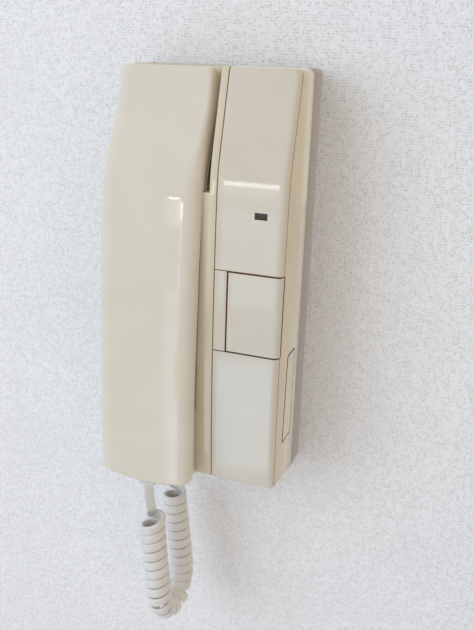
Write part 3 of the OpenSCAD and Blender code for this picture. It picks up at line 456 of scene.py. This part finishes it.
# The face's ends are rounded as seams, but not where it runs to the casing's own top or foot
def facePiece(name, x0, z0, z1, under, material, body):
    s = station
    rings = []
    for z in levels(z0, z1):
        plain = z0 == s["front"] or (z1 == s["top"] and z > (z0 + z1) / 2)
        soft = 0 if plain else roundDrop(min(z - z0, z1 - z), s["seam"])
        deep = max(endDrop(z), soft)
        section = faceSection(x0, under, cornerShift(z))
        rings.append([(x, stationFront(z) - sunk(t, deep), z) for x, t in section])
    return meshPiece(name, *skin(rings), material, body)


# A block that follows the front between two depths behind it
def layerMesh(x0, x1, t0, t1, z0, z1):
    rings = []
    for z in spread(z0, z1, 2):
        near, far = stationFront(z) - t0, stationFront(z) - t1
        rings.append([(x0, near, z), (x1, near, z), (x1, far, z), (x0, far, z)])
    return skin(rings)


# Painted shade and soiling lie on faces that stand edge on, a little way down. Pocket is the ear pocket's
# wall
# beside the handset, painted as shade: its left and right limits, its foot, and how far behind the face it
# starts.
shadeAndDirtLimits = dict(edgeOn=0.8, deep=0.3, inside=1, ledge=2.55, ledgeIn=0.6, buttonOn=0.55, buttonDeep=0.1,
                margin=0.5, bedDeep=4.8, outer=0.4, right=0.9, pocket=(8, 11, 50, 1))


# Painted shade and soiling on the panels' seam faces: their ends, their left side and the ledge under the
# shoulder
def panelSeam(x, d, z, n):
    t, s, maskLimits = stationFront(z) - d, station, shadeAndDirtLimits
    inner = s["front"] + maskLimits["inside"] < z < s["top"] - maskLimits["inside"]
    ends = abs(n.z) > maskLimits["edgeOn"] and inner and t > maskLimits["deep"]
    side = n.x < -maskLimits["edgeOn"] and x < panels["left"] + maskLimits["inside"] and t > maskLimits["deep"]
    ledge = x > s["right"] - maskLimits["ledgeIn"] and t > maskLimits["ledge"] and n.x < maskLimits["right"]
    return ends or side or ledge


# Painted shade and soiling on the label strip's seam faces
def stripSeam(x, d, z, n):
    return max(abs(n.z), abs(n.x)) > shadeAndDirtLimits["edgeOn"] and stationFront(z) - d > shadeAndDirtLimits["deep"]


# Painted shade and soiling on the button's seam faces
def buttonSeam(x, d, z, n):
    maskLimits = shadeAndDirtLimits
    steep = max(abs(n.z), -n.x) > maskLimits["buttonOn"]
    return steep and stationFront(z) - d > maskLimits["buttonDeep"] and x < station["right"] - maskLimits["margin"]


# The bed round the panels, painted darker as shade with soiling, but not the casing's right side
def bedSeam(x, d, z, n):
    s, maskLimits = station, shadeAndDirtLimits
    bed = x > panels["left"] - maskLimits["margin"] and maskLimits["deep"] < stationFront(z) - d < maskLimits["bedDeep"]
    outer = x > s["right"] - maskLimits["margin"] and n.x > maskLimits["outer"]
    return bed and not outer and s["front"] < z < s["top"] - maskLimits["inside"]


# Painted shade on the ear pocket's wall beside the handset, in the gap by the head
def pocketWall(x, d, z, n):
    left, right, foot, deep = shadeAndDirtLimits["pocket"]
    return left < x < right and n.x < -shadeAndDirtLimits["edgeOn"] and z > foot and stationFront(z) - d > deep


def panelPiece(name, node, z0, z1, material, slot, *holes):
    p = panels
    back = p["skirt"] - station["right"]
    under = [(0, p["side"]), (-p["undercut"], p["edge"]), (back, p["edge"]), (back, p["rest"])]
    obj = facePiece(name, p["left"], z0, z1, under, material, "base")
    rim = p["rim"]
    hollow = layerMesh(p["left"] + rim, p["skirt"] - rim, p["face"], p["rest"] + 1, z0 + rim, z1 - rim)
    cutAway(obj, *holes, hollow, solver="FAST")
    paintShadeAndDirt(obj, panelSeam)
    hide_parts(node)


def windowHole(w):
    x0, z0 = w["x"] - w["wide"] / 2, w["z"] - w["high"] / 2
    x1, z1 = w["x"] + w["wide"] / 2, w["z"] + w["high"] / 2
    return boxMesh(x0, x1, *w["depths"], z0, z1)


panelPiece("upperPanel", "upper_panel", panels["upperFrom"], station["top"], finishes["cream"],
           "cream_plastic", windowHole(windowCut))
panelPiece("lowerPanel", "lower_panel", station["front"], panels["lowerTo"], finishes["pale"],
           "pale_plastic")

button = dict(left=19.7, low=-25.55, high=13.75, face=2, edge=2.7, lip=1.6, skirtIn=1.6, skirtDeep=6,
              wall=1.4, overlap=0.2)


def makeButton(b):
    under = [(0, b["edge"]), (-b["lip"], b["edge"]), (-b["lip"], b["face"])]
    obj = facePiece("unlockButton", b["left"], b["low"], b["high"], under, finishes["pale"], "release_button")
    paintShadeAndDirt(obj, buttonSeam)
    x0, x1 = b["left"] + b["skirtIn"], panels["skirt"] - b["skirtIn"]
    z0, z1 = b["low"] + b["skirtIn"], b["high"] - b["skirtIn"]
    outside = layerMesh(x0, x1, b["face"] - b["overlap"], b["skirtDeep"], z0, z1)
    skirt = meshPiece("buttonSkirt", *outside, finishes["pale"], "release_button")
    wall = b["wall"]
    cutAway(skirt, layerMesh(x0 + wall, x1 - wall, b["face"], b["skirtDeep"] + 1, z0 + wall, z1 - wall))
    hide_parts("unlock_button")


makeButton(button)

strip = dict(right=19.1, low=-25.85, high=14.05)


def makeStrip(s):
    x0, x1, seam, rest = panels["left"], s["right"], station["seam"], panels["rest"]
    section = seamEdge(x0, seam) + seamEdge(x1, seam, -1)[::-1] + [(x1, rest), (x0, rest)]
    rings = []
    for z in levels(s["low"], s["high"]):
        soft = roundDrop(min(z - s["low"], s["high"] - z), seam)
        rings.append([(x, stationFront(z) - sunk(t, soft), z) for x, t in section])
    obj = meshPiece("labelStrip", *skin(rings), finishes["cream"], "base")
    paintShadeAndDirt(obj, stripSeam)
    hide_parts("label_strip")


makeStrip(strip)
print("panels and button made")

softening = dict(segments=2, angle=35, flat=0.6)


# A piece with the node's own shape, with its flat faces joined and its edges softened
def softened(name, node, material, body, width=0.35):
    s = softening
    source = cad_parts[node]
    mesh = source.data.copy()
    mesh.transform(source.matrix_world)
    bm = bmesh.new()
    bm.from_mesh(mesh)
    bmesh.ops.remove_doubles(bm, verts=bm.verts, dist=mm / 1000)
    bmesh.ops.dissolve_limit(bm, angle_limit=math.radians(s["flat"]), verts=bm.verts, edges=bm.edges)
    bm.to_mesh(mesh)
    bm.free()
    obj = bpy.data.objects.new(name, mesh)
    bpy.context.collection.objects.link(obj)
    mesh.materials.clear()
    mesh.materials.append(material)
    bevel = obj.modifiers.new("soften", "BEVEL")
    bevel.width, bevel.segments = width * mm, s["segments"]
    bevel.limit_method, bevel.angle_limit = "ANGLE", math.radians(s["angle"])
    applyAll(obj)
    shade(obj, s["angle"])
    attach(obj, body)
    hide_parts(node)
    return obj


housing = softened("frontHousing", "front_housing", finishes["housing"], "base")
# painted shade and soiling in the bed round the panels
paintShadeAndDirt(housing, bedSeam)
# the ear pocket's wall gets a painted shade
paintShadeAndDirt(housing, pocketWall, "pocketShade")
softened("rearCase", "rear_case", finishes["grey"], "base", 0.4)

plate = dict(corners=((35.4, -78.5), (33.6, -30), (20.8, -30), (21.2, -78.5)), proud=0.15, round=1.6,
             line=0.95, lineProud=0.6, root=0.2, bevel=0.05)


# A bare plate on the right side with a thin dark line round it, which stands less proud
def makePlate(p):
    def ring(inset, out):
        r = p["round"] - inset / 2
        points = []
        for i, (d, z) in enumerate(p["corners"]):
            outward, upward = (1, 1, -1, -1)[i], (-1, 1, 1, -1)[i]
            midD, midZ = d - outward * (inset + r), z - upward * (inset + r)
            for k in range(7):
                a = math.radians(90 * (i - 1) + 15 * k)
                points.append((station["right"] + out, midD + r * math.cos(a), midZ + r * math.sin(a)))
        return points

    for name, inset, out, look in (("sidePlateLine", 0, p["proud"] * p["lineProud"], "outline"),
                                   ("sidePlate", p["line"], p["proud"], "plate")):
        rings = [ring(inset, -p["root"]), ring(inset, out - p["bevel"]), ring(inset + p["bevel"], out)]
        obj = meshPiece(name, *skin(rings), finishes[look], "base")


makePlate(plate)
print("casing made")

# The head tilts back, a ramp runs into a long bow, and the foot is an arch. The sides taper back from their
# rounded edge. The shells meet at the seam, and head, grip and mouth each have their own back.
handset = dict(x=-19.6, half=25.6, top=103.4, foot=-101.8, headDepth=36, headTilt=6, rampHeight=90.6,
               ramp=28.8, bulge=63, crown=-90, bowRadius=1150, blend=6, headBlend=2, sideEdge=6, sideWide=8,
               topEdge=2, footEdge=3, taper=25, taperDeep=9, seam=9, seamGap=0.3, seamEdge=0.25, wall=2.2,
               headBack=19.5, mouthBack=36, grip=18, headHeight=54, mouthHeight=-64, gripRise=4, backEdge=1.6,
               sideDeep=16, corner=6.5, cornerShare=0.35, leastCorner=1.2, footCorner=5, leastFoot=0.9,
               footRadius=90, cornerSteps=6, rows=1.7, columns=28, topReach=8, footReach=24)


def setFront(z):
    h = handset
    ramp = h["headDepth"] + (h["rampHeight"] - z) * slopeOf(h["ramp"])
    head = h["headDepth"] - max(z - h["rampHeight"], 0) * slopeOf(h["headTilt"])
    body = smoothMin(ramp, bow(z, h["bulge"], h["crown"], h["bowRadius"]), h["blend"])
    return smoothMax(head, body, h["headBlend"])


def setBack(z):
    h = handset
    head, mouth, rise = h["headHeight"], h["mouthHeight"], h["gripRise"]

    def grip(y):
        return setFront(y) - h["grip"]

    if z > head:
        return h["headBack"]
    if z > head - rise:
        return h["headBack"] + (grip(head - rise) - h["headBack"]) * (head - z) / rise
    if z > mouth + rise:
        return grip(z)
    if z > mouth:
        return h["mouthBack"] + (grip(mouth + rise) - h["mouthBack"]) * (z - mouth) / rise
    return h["mouthBack"]


# Height at which the sides run into the corners of the arched foot
def footSide():
    h = handset
    r, arch = h["footCorner"], h["footRadius"]
    return h["foot"] + arch - math.sqrt((arch - r) ** 2 - (h["half"] - r) ** 2)


def handsetLevels():
    h = handset
    head, mouth, rise, rows = h["headHeight"], h["mouthHeight"], h["gripRise"], h["rows"]
    return joined(spread(h["top"] - h["corner"], head, rows), spread(head, head - rise, 1),
                  spread(head - rise, mouth + rise, rows), spread(mouth + rise, mouth, 1),
                  spread(mouth, footSide(), rows))


# The right half of the outline from the front, with its side, top and foot brought in by different amounts:
# down the side, along the foot and along the top. A point is its distance from the middle, its height and how
# much it belongs to the side.
def outlineRuns(side, top, foot):
    h = handset
    n, half = h["cornerSteps"], h["columns"] // 2

    def arc(x, z, r, angles):
        return [(x + r * math.cos(a), z + r * math.sin(a), math.cos(a) ** 2) for a in angles]

    r = max(h["corner"] - min(side, top) - h["cornerShare"] * max(side - top, 0), h["leastCorner"])
    x, z = h["half"] - side - r, h["top"] - top - r
    sideRun = arc(x, z, r, [math.radians(45 - 45 * i / n) for i in range(n + 1)])
    sideRun += [(h["half"] - side, min(level, z), 1.0) for level in handsetLevels()[1:-1]]
    topRun = arc(x, z, r, [math.radians(45 + 45 * i / n) for i in range(n + 1)])
    topRun += [(x * (1 - i / half), h["top"] - top, 0.0) for i in range(1, half + 1)]

    middle, arch = h["foot"] + h["footRadius"], h["footRadius"] - foot
    r = max(h["footCorner"] - side, h["leastFoot"])
    x = h["half"] - side - r
    z = middle - math.sqrt(max((arch - r) ** 2 - x ** 2, 0))
    turn = math.atan2(z - middle, x)
    sideRun += arc(x, z, r, [0.5 * turn * i / n for i in range(n + 1)])
    footRun = arc(x, z, r, [0.5 * turn + 0.5 * turn * i / n for i in range(n + 1)])
    reach = footRun[-1][0]
    for i in range(1, half + 1):
        x = reach * (1 - i / half)
        footRun.append((x, middle - math.sqrt(arch ** 2 - x * x), 0.0))
    return sideRun, footRun, topRun


def mirrored(run):
    return [(-x, z, share) for x, z, share in run]


# One closed ring, anticlockwise from the middle of the top left corner, and the number of points in each run
def outlineRing(side, top, foot):
    sideRun, footRun, topRun = outlineRuns(side, top, foot)
    down = mirrored(sideRun)
    along = mirrored(footRun)[1:] + footRun[::-1][1:]
    up = sideRun[::-1][1:]
    back = topRun[1:] + mirrored(topRun[::-1])[1:-1]
    return down + along + up + back, (len(down), len(along), len(up), len(back))


# A ring of a shell: a step gives how far its side, top and foot are brought in, a depth for each of them, and
# the rule that makes the depth out from the wall from a height and such a depth
def shellRing(step):
    (side, top, foot), (sideDepth, topDepth, footDepth), depthAt = step
    ring, counts = outlineRing(side, top, foot)
    out = []
    for x, z, share in ring:
        end = topDepth if z > 0 else footDepth
        out.append((handset["x"] + x, depthAt(z, end + (sideDepth - end) * share), z))
    return out, counts


# Fills a ring, whose points are numbered from start, with rows and columns of points
def fillRing(ring, counts, depthOf, start):
    h = handset
    down, along, up, back = counts
    n = len(ring)
    left = [start + i for i in range(down)]
    foot = [start + down - 1 + i for i in range(along + 1)]
    right = [start + down + along - 1 + i for i in range(up + 1)][::-1]
    top = [start + (down + along + up - 1 + i) % n for i in range(back + 2)][::-1]

    def at(i):
        x, _, z = ring[i - start]
        return x, z

    def shares(row):
        x0, x1 = at(row[0])[0], at(row[-1])[0]
        return [(at(i)[0] - x0) / (x1 - x0) for i in row]

    topShares, footShares = shares(top), shares(foot)
    topZ, footZ = at(top[0])[1], at(foot[0])[1]
    grid, inner = [top], []
    for r in range(1, down - 1):
        row = [left[r]]
        (x0, z0), (x1, _) = at(left[r]), at(right[r])
        likeTop = max(0, 1 - (topZ - z0) / h["topReach"]) ** 2
        likeFoot = max(0, 1 - (z0 - footZ) / h["footReach"]) ** 2
        v = r / (down - 1)
        for c in range(1, along):
            u = topShares[c] * (1 - v) + footShares[c] * v
            z = z0 + likeTop * (at(top[c])[1] - topZ) + likeFoot * (at(foot[c])[1] - footZ)
            row.append(start + n + len(inner))
            inner.append((x0 + (x1 - x0) * u, depthOf(z), z))
        grid.append(row + [right[r]])
    grid.append(foot)
    faces = []
    for upper, lower in zip(grid, grid[1:]):
        faces += [(upper[c], upper[c + 1], lower[c + 1], lower[c]) for c in range(along)]
    return inner, faces


# The cradle's wall beside the handset: where it stands at the foot of the ear pocket, how far it leans over
# the run below that, and how much wider the pocket is. Crisp is the part of the head's rounding that is taken
# away, and tuck is how far the head's side turns in behind its edge.
cradle = dict(wall=5.9, lean=2.2, pocket=49.5, run=153.5, wider=3.3, widerOver=4, room=0.4, leastTaper=0.1,
              crisp=0.55, crispFrom=50, crispOver=25, tuck=1.5, tuckFrom=4.5, tuckOver=2.5, tuckUp=4)


# On the right the head's edge is crisper, and the side goes back as far as the cradle's side wall leaves room
def towardsCradle(p):
    h, c = handset, cradle
    x, d, z = p
    if x <= h["x"]:
        return p
    half, soft = h["half"], h["sideWide"]
    inward = half - (x - h["x"])
    crisp = 1 - c["crisp"] * ease((z - c["crispFrom"]) / c["crispOver"])
    if inward < soft:
        inward *= crisp
    else:
        inward = half - (half - inward) * (half - soft * crisp) / (half - soft)
    x = h["x"] + half - inward
    deep = setFront(z) - d - h["sideEdge"]
    if deep <= 0:
        return x, d, z
    inset = crisp * slopeOf(h["taper"]) * min(deep, h["taperDeep"])
    wall = c["wall"] - c["lean"] * (c["pocket"] - z) / c["run"]
    wall += c["wider"] * ease((z - c["pocket"]) / c["widerOver"])
    less = min(inset, max(c["leastTaper"] * inset, half - (wall - c["room"] - h["x"])))
    tucked = ease((deep - c["tuckFrom"]) / c["tuckOver"])
    less += (inset + c["tuck"] - less) * tucked * ease((z - c["crispFrom"]) / c["tuckUp"])
    return h["x"] + (x - h["x"]) * (half - less) / (half - inset), d, z


# A closed shell: its outer face, rings outwards, over the seam and inwards, and its inner face
def closedShell(steps, outerDepth, innerDepth):
    rings = [shellRing(step) for step in steps]
    first, counts = rings[0]
    n = len(first)
    inner, faces = fillRing(first, counts, outerDepth, 0)
    points = first + inner
    starts = [0]
    for ring, _ in rings[1:]:
        starts.append(len(points))
        points = points + ring
    for a, b in zip(starts, starts[1:]):
        faces += [(a + i, a + (i + 1) % n, b + (i + 1) % n, b + i) for i in range(n)]
    inner, fill = fillRing(*rings[-1], innerDepth, starts[-1])
    return [towardsCradle(p) for p in points + inner], faces + fill


def shellStep(side, end, depth, depthAt):
    return (side, end, end), (depth, depth, depth), depthAt


# How the shells run between their faces and the seam: extra rows down the side, the lining of the front
# shell, the flat of the back shell, its edge, and the lip where the two meet
shells = dict(sideRows=(6.2, 7.6), liningDepth=6, liningSide=0.3, liningRound=2.5, liningEnd=1,
              flatSide=10.5, flatEnd=6.5, edgeShare=0.7, leastSide=3.2, lip=0.02, backRound=0.6, backSide=1)


def frontSteps():
    h = handset
    edges = [h[k] for k in ("sideWide", "topEdge", "footEdge")]
    drops = [h[k] for k in ("sideEdge", "topEdge", "footEdge")]
    slope, seam, edge, wall = slopeOf(h["taper"]), h["seam"], h["seamEdge"], h["wall"]
    seamIn = slope * (seam - h["sideEdge"])

    def behind(z, t):
        return setFront(z) - t

    steps = []
    for a in quarter(8):
        steps.append(([e * (1 - math.sin(a)) for e in edges], [e * (1 - math.cos(a)) for e in drops], behind))
    for t in (*shells["sideRows"], seam - h["seamGap"]):
        steps.append(shellStep(slope * (t - h["sideEdge"]), 0, t, behind))
    steps.append(shellStep(seamIn + edge, edge, seam, behind))
    steps.append(shellStep(seamIn + wall, wall, seam, behind))
    steps.append(shellStep(wall + shells["liningSide"], wall, shells["liningDepth"], behind))
    steps.append(shellStep(wall + shells["liningRound"], wall + shells["liningEnd"], wall, behind))
    return steps


def backSteps():
    h = handset
    slope, edge, wall = slopeOf(h["taper"]), h["seamEdge"], h["wall"]
    seamIn, sideIn = slope * (h["seam"] - h["sideEdge"]), slope * h["taperDeep"]

    def ahead(z, t):
        return setBack(z) + t

    def insideOf(z, t):
        return setBack(z) + wall + t

    # depth part of the way from the seam to where the side stops tapering
    def onSide(z, part):
        straight = min(h["sideDeep"], setFront(z) - setBack(z) - shells["leastSide"])
        return setFront(z) - h["seam"] - h["seamGap"] - (straight - h["seam"] - h["seamGap"]) * part

    def atSeam(z, t):
        return setFront(z) - h["seam"] - t

    steps = [shellStep(shells["flatSide"], shells["flatEnd"], 0, ahead)]
    for a in quarter(4):
        inset = h["backEdge"] * (1 - math.sin(a))
        drop = h["backEdge"] * (1 - math.cos(a))
        steps.append(shellStep(sideIn + inset, inset * shells["edgeShare"], drop, ahead))
    for part in (1.0, 0.6, 0.25, 0):
        steps.append(shellStep(seamIn + (sideIn - seamIn) * part, 0, part, onSide))
    steps.append(shellStep(seamIn + edge, edge, shells["lip"], atSeam))
    steps.append(shellStep(seamIn + wall, wall, shells["lip"], atSeam))
    steps.append(shellStep(sideIn + wall, wall, shells["backRound"], insideOf))
    steps.append(shellStep(sideIn + wall + shells["backSide"], wall + shells["backRound"], 0, insideOf))
    return steps


reliefHole = dict(x=-19.6, depth=57, wide=8.5, deep=5.1, heights=(-108, -96))
openings = dict(ear=83.3, earRound=17.05, earStep=1.2, earHole=14.7, microphone=-85.8, pinholes=(-3, 0, 3),
                pinhole=0.8, screws=(-70, 38), screwHead=2.95, screwDeep=1.9, slot=(57.066, 62.636),
                slotWide=11, start=2, through=8)


def makeFrontShell(o):
    shell = closedShell(frontSteps(), setFront, lambda z: setFront(z) - handset["wall"])
    obj = meshPiece("handsetFrontShell", *shell, finishes["handset"], "handset", 30)
    x, d = o["wide"] / 2, o["deep"] / 2
    hole = boxMesh(o["x"] - x, o["x"] + x, o["depth"] - d, o["depth"] + d, *o["heights"])
    cutAway(obj, hole, angle=30, solver="FAST")
    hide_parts("handset_front_shell")


def makeBackShell(o):
    shell = closedShell(backSteps(), setBack, lambda z: setBack(z) + handset["wall"])
    obj = meshPiece("handsetBackShell", *shell, finishes["handset"], "handset", 30)
    x, head, mouth = handset["x"], handset["headBack"], handset["mouthBack"]
    start, deep = o["start"], o["through"]
    cuts = [rod(x, o["ear"], head - start, head + o["earStep"], o["earRound"], 64),
            rod(x, o["ear"], head - start, head + deep, o["earHole"], 64)]
    for i in o["pinholes"]:
        cuts.append(rod(x + i, o["microphone"], mouth - start, mouth + deep, o["pinhole"], 20))
    cuts += [rod(x, z, setBack(z) - start, setBack(z) + o["screwDeep"], o["screwHead"]) for z in o["screws"]]
    slot = o["slotWide"] / 2
    cuts.append(boxMesh(x - slot, x + slot, head - start, head + deep / 2, *o["slot"]))
    cutAway(obj, *cuts, angle=30)
    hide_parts("handset_back_shell")


makeFrontShell(reliefHole)
makeBackShell(openings)
print("handset made")


# The button's springs: a copy of the node's mesh in spring steel, riding on the base
def makeSprings():
    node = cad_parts["button_springs"]
    mesh = node.data.copy()
    obj = bpy.data.objects.new("buttonSprings", mesh)
    obj.matrix_world = node.matrix_world
    bpy.context.collection.objects.link(obj)
    mesh.materials.clear()
    mesh.materials.append(finishes["spring"])
    weld(mesh)
    shade(obj, 50)
    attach(obj, "base")
    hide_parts("button_springs")
    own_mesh(obj)


makeSprings()

dressed = dict(
    zinc=["wall_bracket"], screw=["case_screws", "panel_board_screws", "board_screws", "handset_screws"],
    spring=["hook_spring"], black=["unlock_switch", "hook_switch", "terminal_block"],
    lens=["lamp_lens"], red=["visitor_lamp"], pale=["hook_plunger"], board=["panel_board", "main_board"],
    brass=["terminal_screws"], iron=["line_transformer"], sleeve=["board_capacitors"],
    can=["microphone", "receiver_capsule"], rubber=["receiver_ring", "microphone_boot", "chime_speaker"],
    handset=["ear_cap"], boot=["handset_relief", "base_relief"],
)
for look, names in dressed.items():
    for name in names:
        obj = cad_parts[name]
        if not obj.material_slots:
            obj.data.materials.append(finishes[look])
        for place in obj.material_slots:
            place.material = finishes[look]
print("carried-over pieces dressed")

# Places are in metres; the weave and the patches in which its pits show are in millimetres
stage = dict(floor=-0.5, reach=3, wall=0.0005, weave=1.35, uneven=0.45, patches=2.4, depth=0.00028,
             pitEdge=(0.1, 0.5), pitted=(0.42, 0.6), tone=(234, 233, 234), tone2=(237, 236, 237),
             paintedPitShade=(212, 211, 209), floorTone=(224, 224, 226), floorTone2=(228, 228, 230))


def stagePlane(name, corners, material):
    mesh = bpy.data.meshes.new(name)
    mesh.from_pydata(corners, [], [(0, 1, 2, 3)])
    obj = bpy.data.objects.new(name, mesh)
    bpy.context.collection.objects.link(obj)
    mesh.materials.append(material)


# A woven paper with small pits between its threads, bumped in and painted darker as shade. It is only there
# for the camera, and not from behind.
def wallPaper(st):
    mat = finish("wallPaper", st["tone"], st["tone2"], (0.75, 0.85), 0, 1, 60)
    nodes, links = mat.node_tree.nodes, mat.node_tree.links
    shader = nodes["Principled BSDF"]
    place = nodes.new("ShaderNodeTexCoord").outputs["Object"]
    pits = nodes.new("ShaderNodeTexVoronoi")
    socket(pits, "Scale", 1000 / st["weave"])
    socket(pits, "Randomness", st["uneven"])
    links.new(place, pits.inputs["Vector"])
    some = nodes.new("ShaderNodeTexNoise")
    socket(some, "Scale", 1000 / st["patches"])
    links.new(place, some.inputs["Vector"])
    rise, deep = nodes.new("ShaderNodeMapRange"), nodes.new("ShaderNodeMapRange")
    for node, ends in ((rise, st["pitEdge"]), (deep, st["pitted"])):
        socket(node, "From Min", ends[0])
        socket(node, "From Max", ends[1])
    links.new(pits.outputs["Distance"], rise.inputs["Value"])
    links.new(some.outputs["Fac"], deep.inputs["Value"])
    lifted = nodes.new("ShaderNodeMath")  # the height: 1 everywhere but in the pits
    lifted.operation = "MAXIMUM"
    links.new(rise.outputs["Result"], lifted.inputs[0])
    links.new(deep.outputs["Result"], lifted.inputs[1])
    bump = nodes.new("ShaderNodeBump")
    socket(bump, "Strength", 1)
    socket(bump, "Distance", st["depth"])
    links.new(lifted.outputs["Value"], bump.inputs["Height"])
    links.new(bump.outputs["Normal"], shader.inputs["Normal"])
    # painted shade: the pits get a darker colour as well as their bump
    shaded = nodes.new("ShaderNodeMix")
    shaded.data_type = "RGBA"
    shaded.inputs[6].default_value = rgb(*st["paintedPitShade"])
    links.new(lifted.outputs["Value"], shaded.inputs["Factor"])
    links.new(shader.inputs["Base Color"].links[0].from_socket, shaded.inputs[7])
    links.new(shaded.outputs[2], shader.inputs["Base Color"])
    rays, side = nodes.new("ShaderNodeLightPath"), nodes.new("ShaderNodeNewGeometry")
    shown = nodes.new("ShaderNodeMath")
    shown.operation, shown.use_clamp = "SUBTRACT", True
    links.new(rays.outputs["Is Camera Ray"], shown.inputs[0])
    links.new(side.outputs["Backfacing"], shown.inputs[1])
    clear, mixed = nodes.new("ShaderNodeBsdfTransparent"), nodes.new("ShaderNodeMixShader")
    links.new(shown.outputs["Value"], mixed.inputs["Fac"])
    links.new(clear.outputs["BSDF"], mixed.inputs[1])
    links.new(shader.outputs["BSDF"], mixed.inputs[2])
    links.new(mixed.outputs["Shader"], nodes["Material Output"].inputs["Surface"])
    return mat


def makeStage(st):
    r, z, y = st["reach"], st["floor"], st["wall"]
    floorLook = finish("paleFloor", st["floorTone"], st["floorTone2"], (0.7, 0.8), 0.02, 4, 300)
    stagePlane("floor", [(-r, -r, z), (r, -r, z), (r, r, z), (-r, r, z)], floorLook)
    stagePlane("wall", [(-r, y, z), (r, y, z), (r, y, r), (-r, y, r)], wallPaper(st))


makeStage(stage)
print("wall and floor made")

# The daylight shapes the object; the other panes are only seen as reflections in the glossy plastic. Places
# and sizes are in metres.
lights = dict(
    daylight=dict(place=(-0.72, -0.95, 0.34), size=(0.8, 0.9), glow=2.3, seen="diffuse",
                  tone=(0.8, 0.91, 1.07)),
    blind=dict(place=(-0.43, -1.5, 0.074), size=(0.27, 0.096), glow=8, seen="gloss"),
    pane=dict(place=(-0.43, -1.5, -0.0335), size=(0.27, 0.119), glow=1.6, seen="gloss"),
    setBlind=dict(place=(-0.171, -0.419, 0.079), size=(0.0125, 0.009), glow=14, seen="gloss"),
    setPane=dict(place=(-0.171, -0.419, 0.049), size=(0.0125, 0.052), glow=1.5, seen="gloss"),
    setFrame=dict(place=(-0.1625, -0.42, 0.052), size=(0.0022, 0.058), glow=8, seen="gloss"),
    ledge=dict(place=(-0.43, -1.5, -0.3), size=(0.3, 0.34), glow=1.3, seen="gloss", tone=(0.85, 1, 1.2)),
    doorway=dict(place=(-0.248, -0.6, -0.27), size=(0.015, 0.36), glow=1.3, seen="gloss",
                 tone=(0.8, 0.97, 1.2)),
    lowSky=dict(place=(-0.14, -0.6, -0.39), size=(0.2, 0.2), glow=1.5, seen="gloss", tone=(0.6, 0.92, 1.35)),
)


# Glow is the brightness of the light's face, whatever its size
def areaLight(name, place, size, glow, seen, tone=(1, 1, 1)):
    data = bpy.data.lights.new(name, "AREA")
    data.shape, data.size, data.size_y = "RECTANGLE", size[0], size[1]
    data.energy, data.color = glow * math.pi * size[0] * size[1], tone
    obj = bpy.data.objects.new(name, data)
    obj.location = place
    obj.rotation_euler = (-Vector(place)).to_track_quat("-Z", "Y").to_euler()
    obj.visible_camera = False
    obj.visible_diffuse, obj.visible_glossy = seen == "diffuse", seen == "gloss"
    bpy.context.collection.objects.link(obj)


for name, light in lights.items():
    areaLight(name, **light)
print("lights placed")

room = dict(left=(0.79, 0.87, 0.96), right=(0.81, 0.72, 0.6), turn=0.55, backdrop=(0.87, 0.88, 0.89))


# Cool daylight from the left, a warmer and dimmer light from the right, and a plain backdrop for the camera
def makeRoom(r):
    world = bpy.data.worlds.new("room")
    world.use_nodes = True
    bpy.context.scene.world = world
    nodes, links = world.node_tree.nodes, world.node_tree.links
    heading = nodes.new("ShaderNodeTexCoord")
    parts = nodes.new("ShaderNodeSeparateXYZ")
    turned = nodes.new("ShaderNodeMapRange")
    links.new(heading.outputs["Generated"], parts.inputs["Vector"])
    links.new(parts.outputs["X"], turned.inputs["Value"])
    socket(turned, "From Min", -r["turn"])
    socket(turned, "From Max", r["turn"])
    mixes = []
    for tones in ((r["left"], r["right"]), (r["left"], r["backdrop"])):
        mix = nodes.new("ShaderNodeMix")
        mix.data_type = "RGBA"
        mix.inputs[6].default_value, mix.inputs[7].default_value = (*tones[0], 1), (*tones[1], 1)
        mixes.append(mix)
    links.new(turned.outputs["Result"], mixes[0].inputs["Factor"])
    links.new(mixes[0].outputs[2], mixes[1].inputs[6])
    links.new(nodes.new("ShaderNodeLightPath").outputs["Is Camera Ray"], mixes[1].inputs["Factor"])
    links.new(mixes[1].outputs[2], nodes["Background"].inputs["Color"])
    socket(nodes["Background"], "Strength", 1)


makeRoom(room)
bpy.context.scene.view_settings.view_transform = "Standard"
print("room lit")
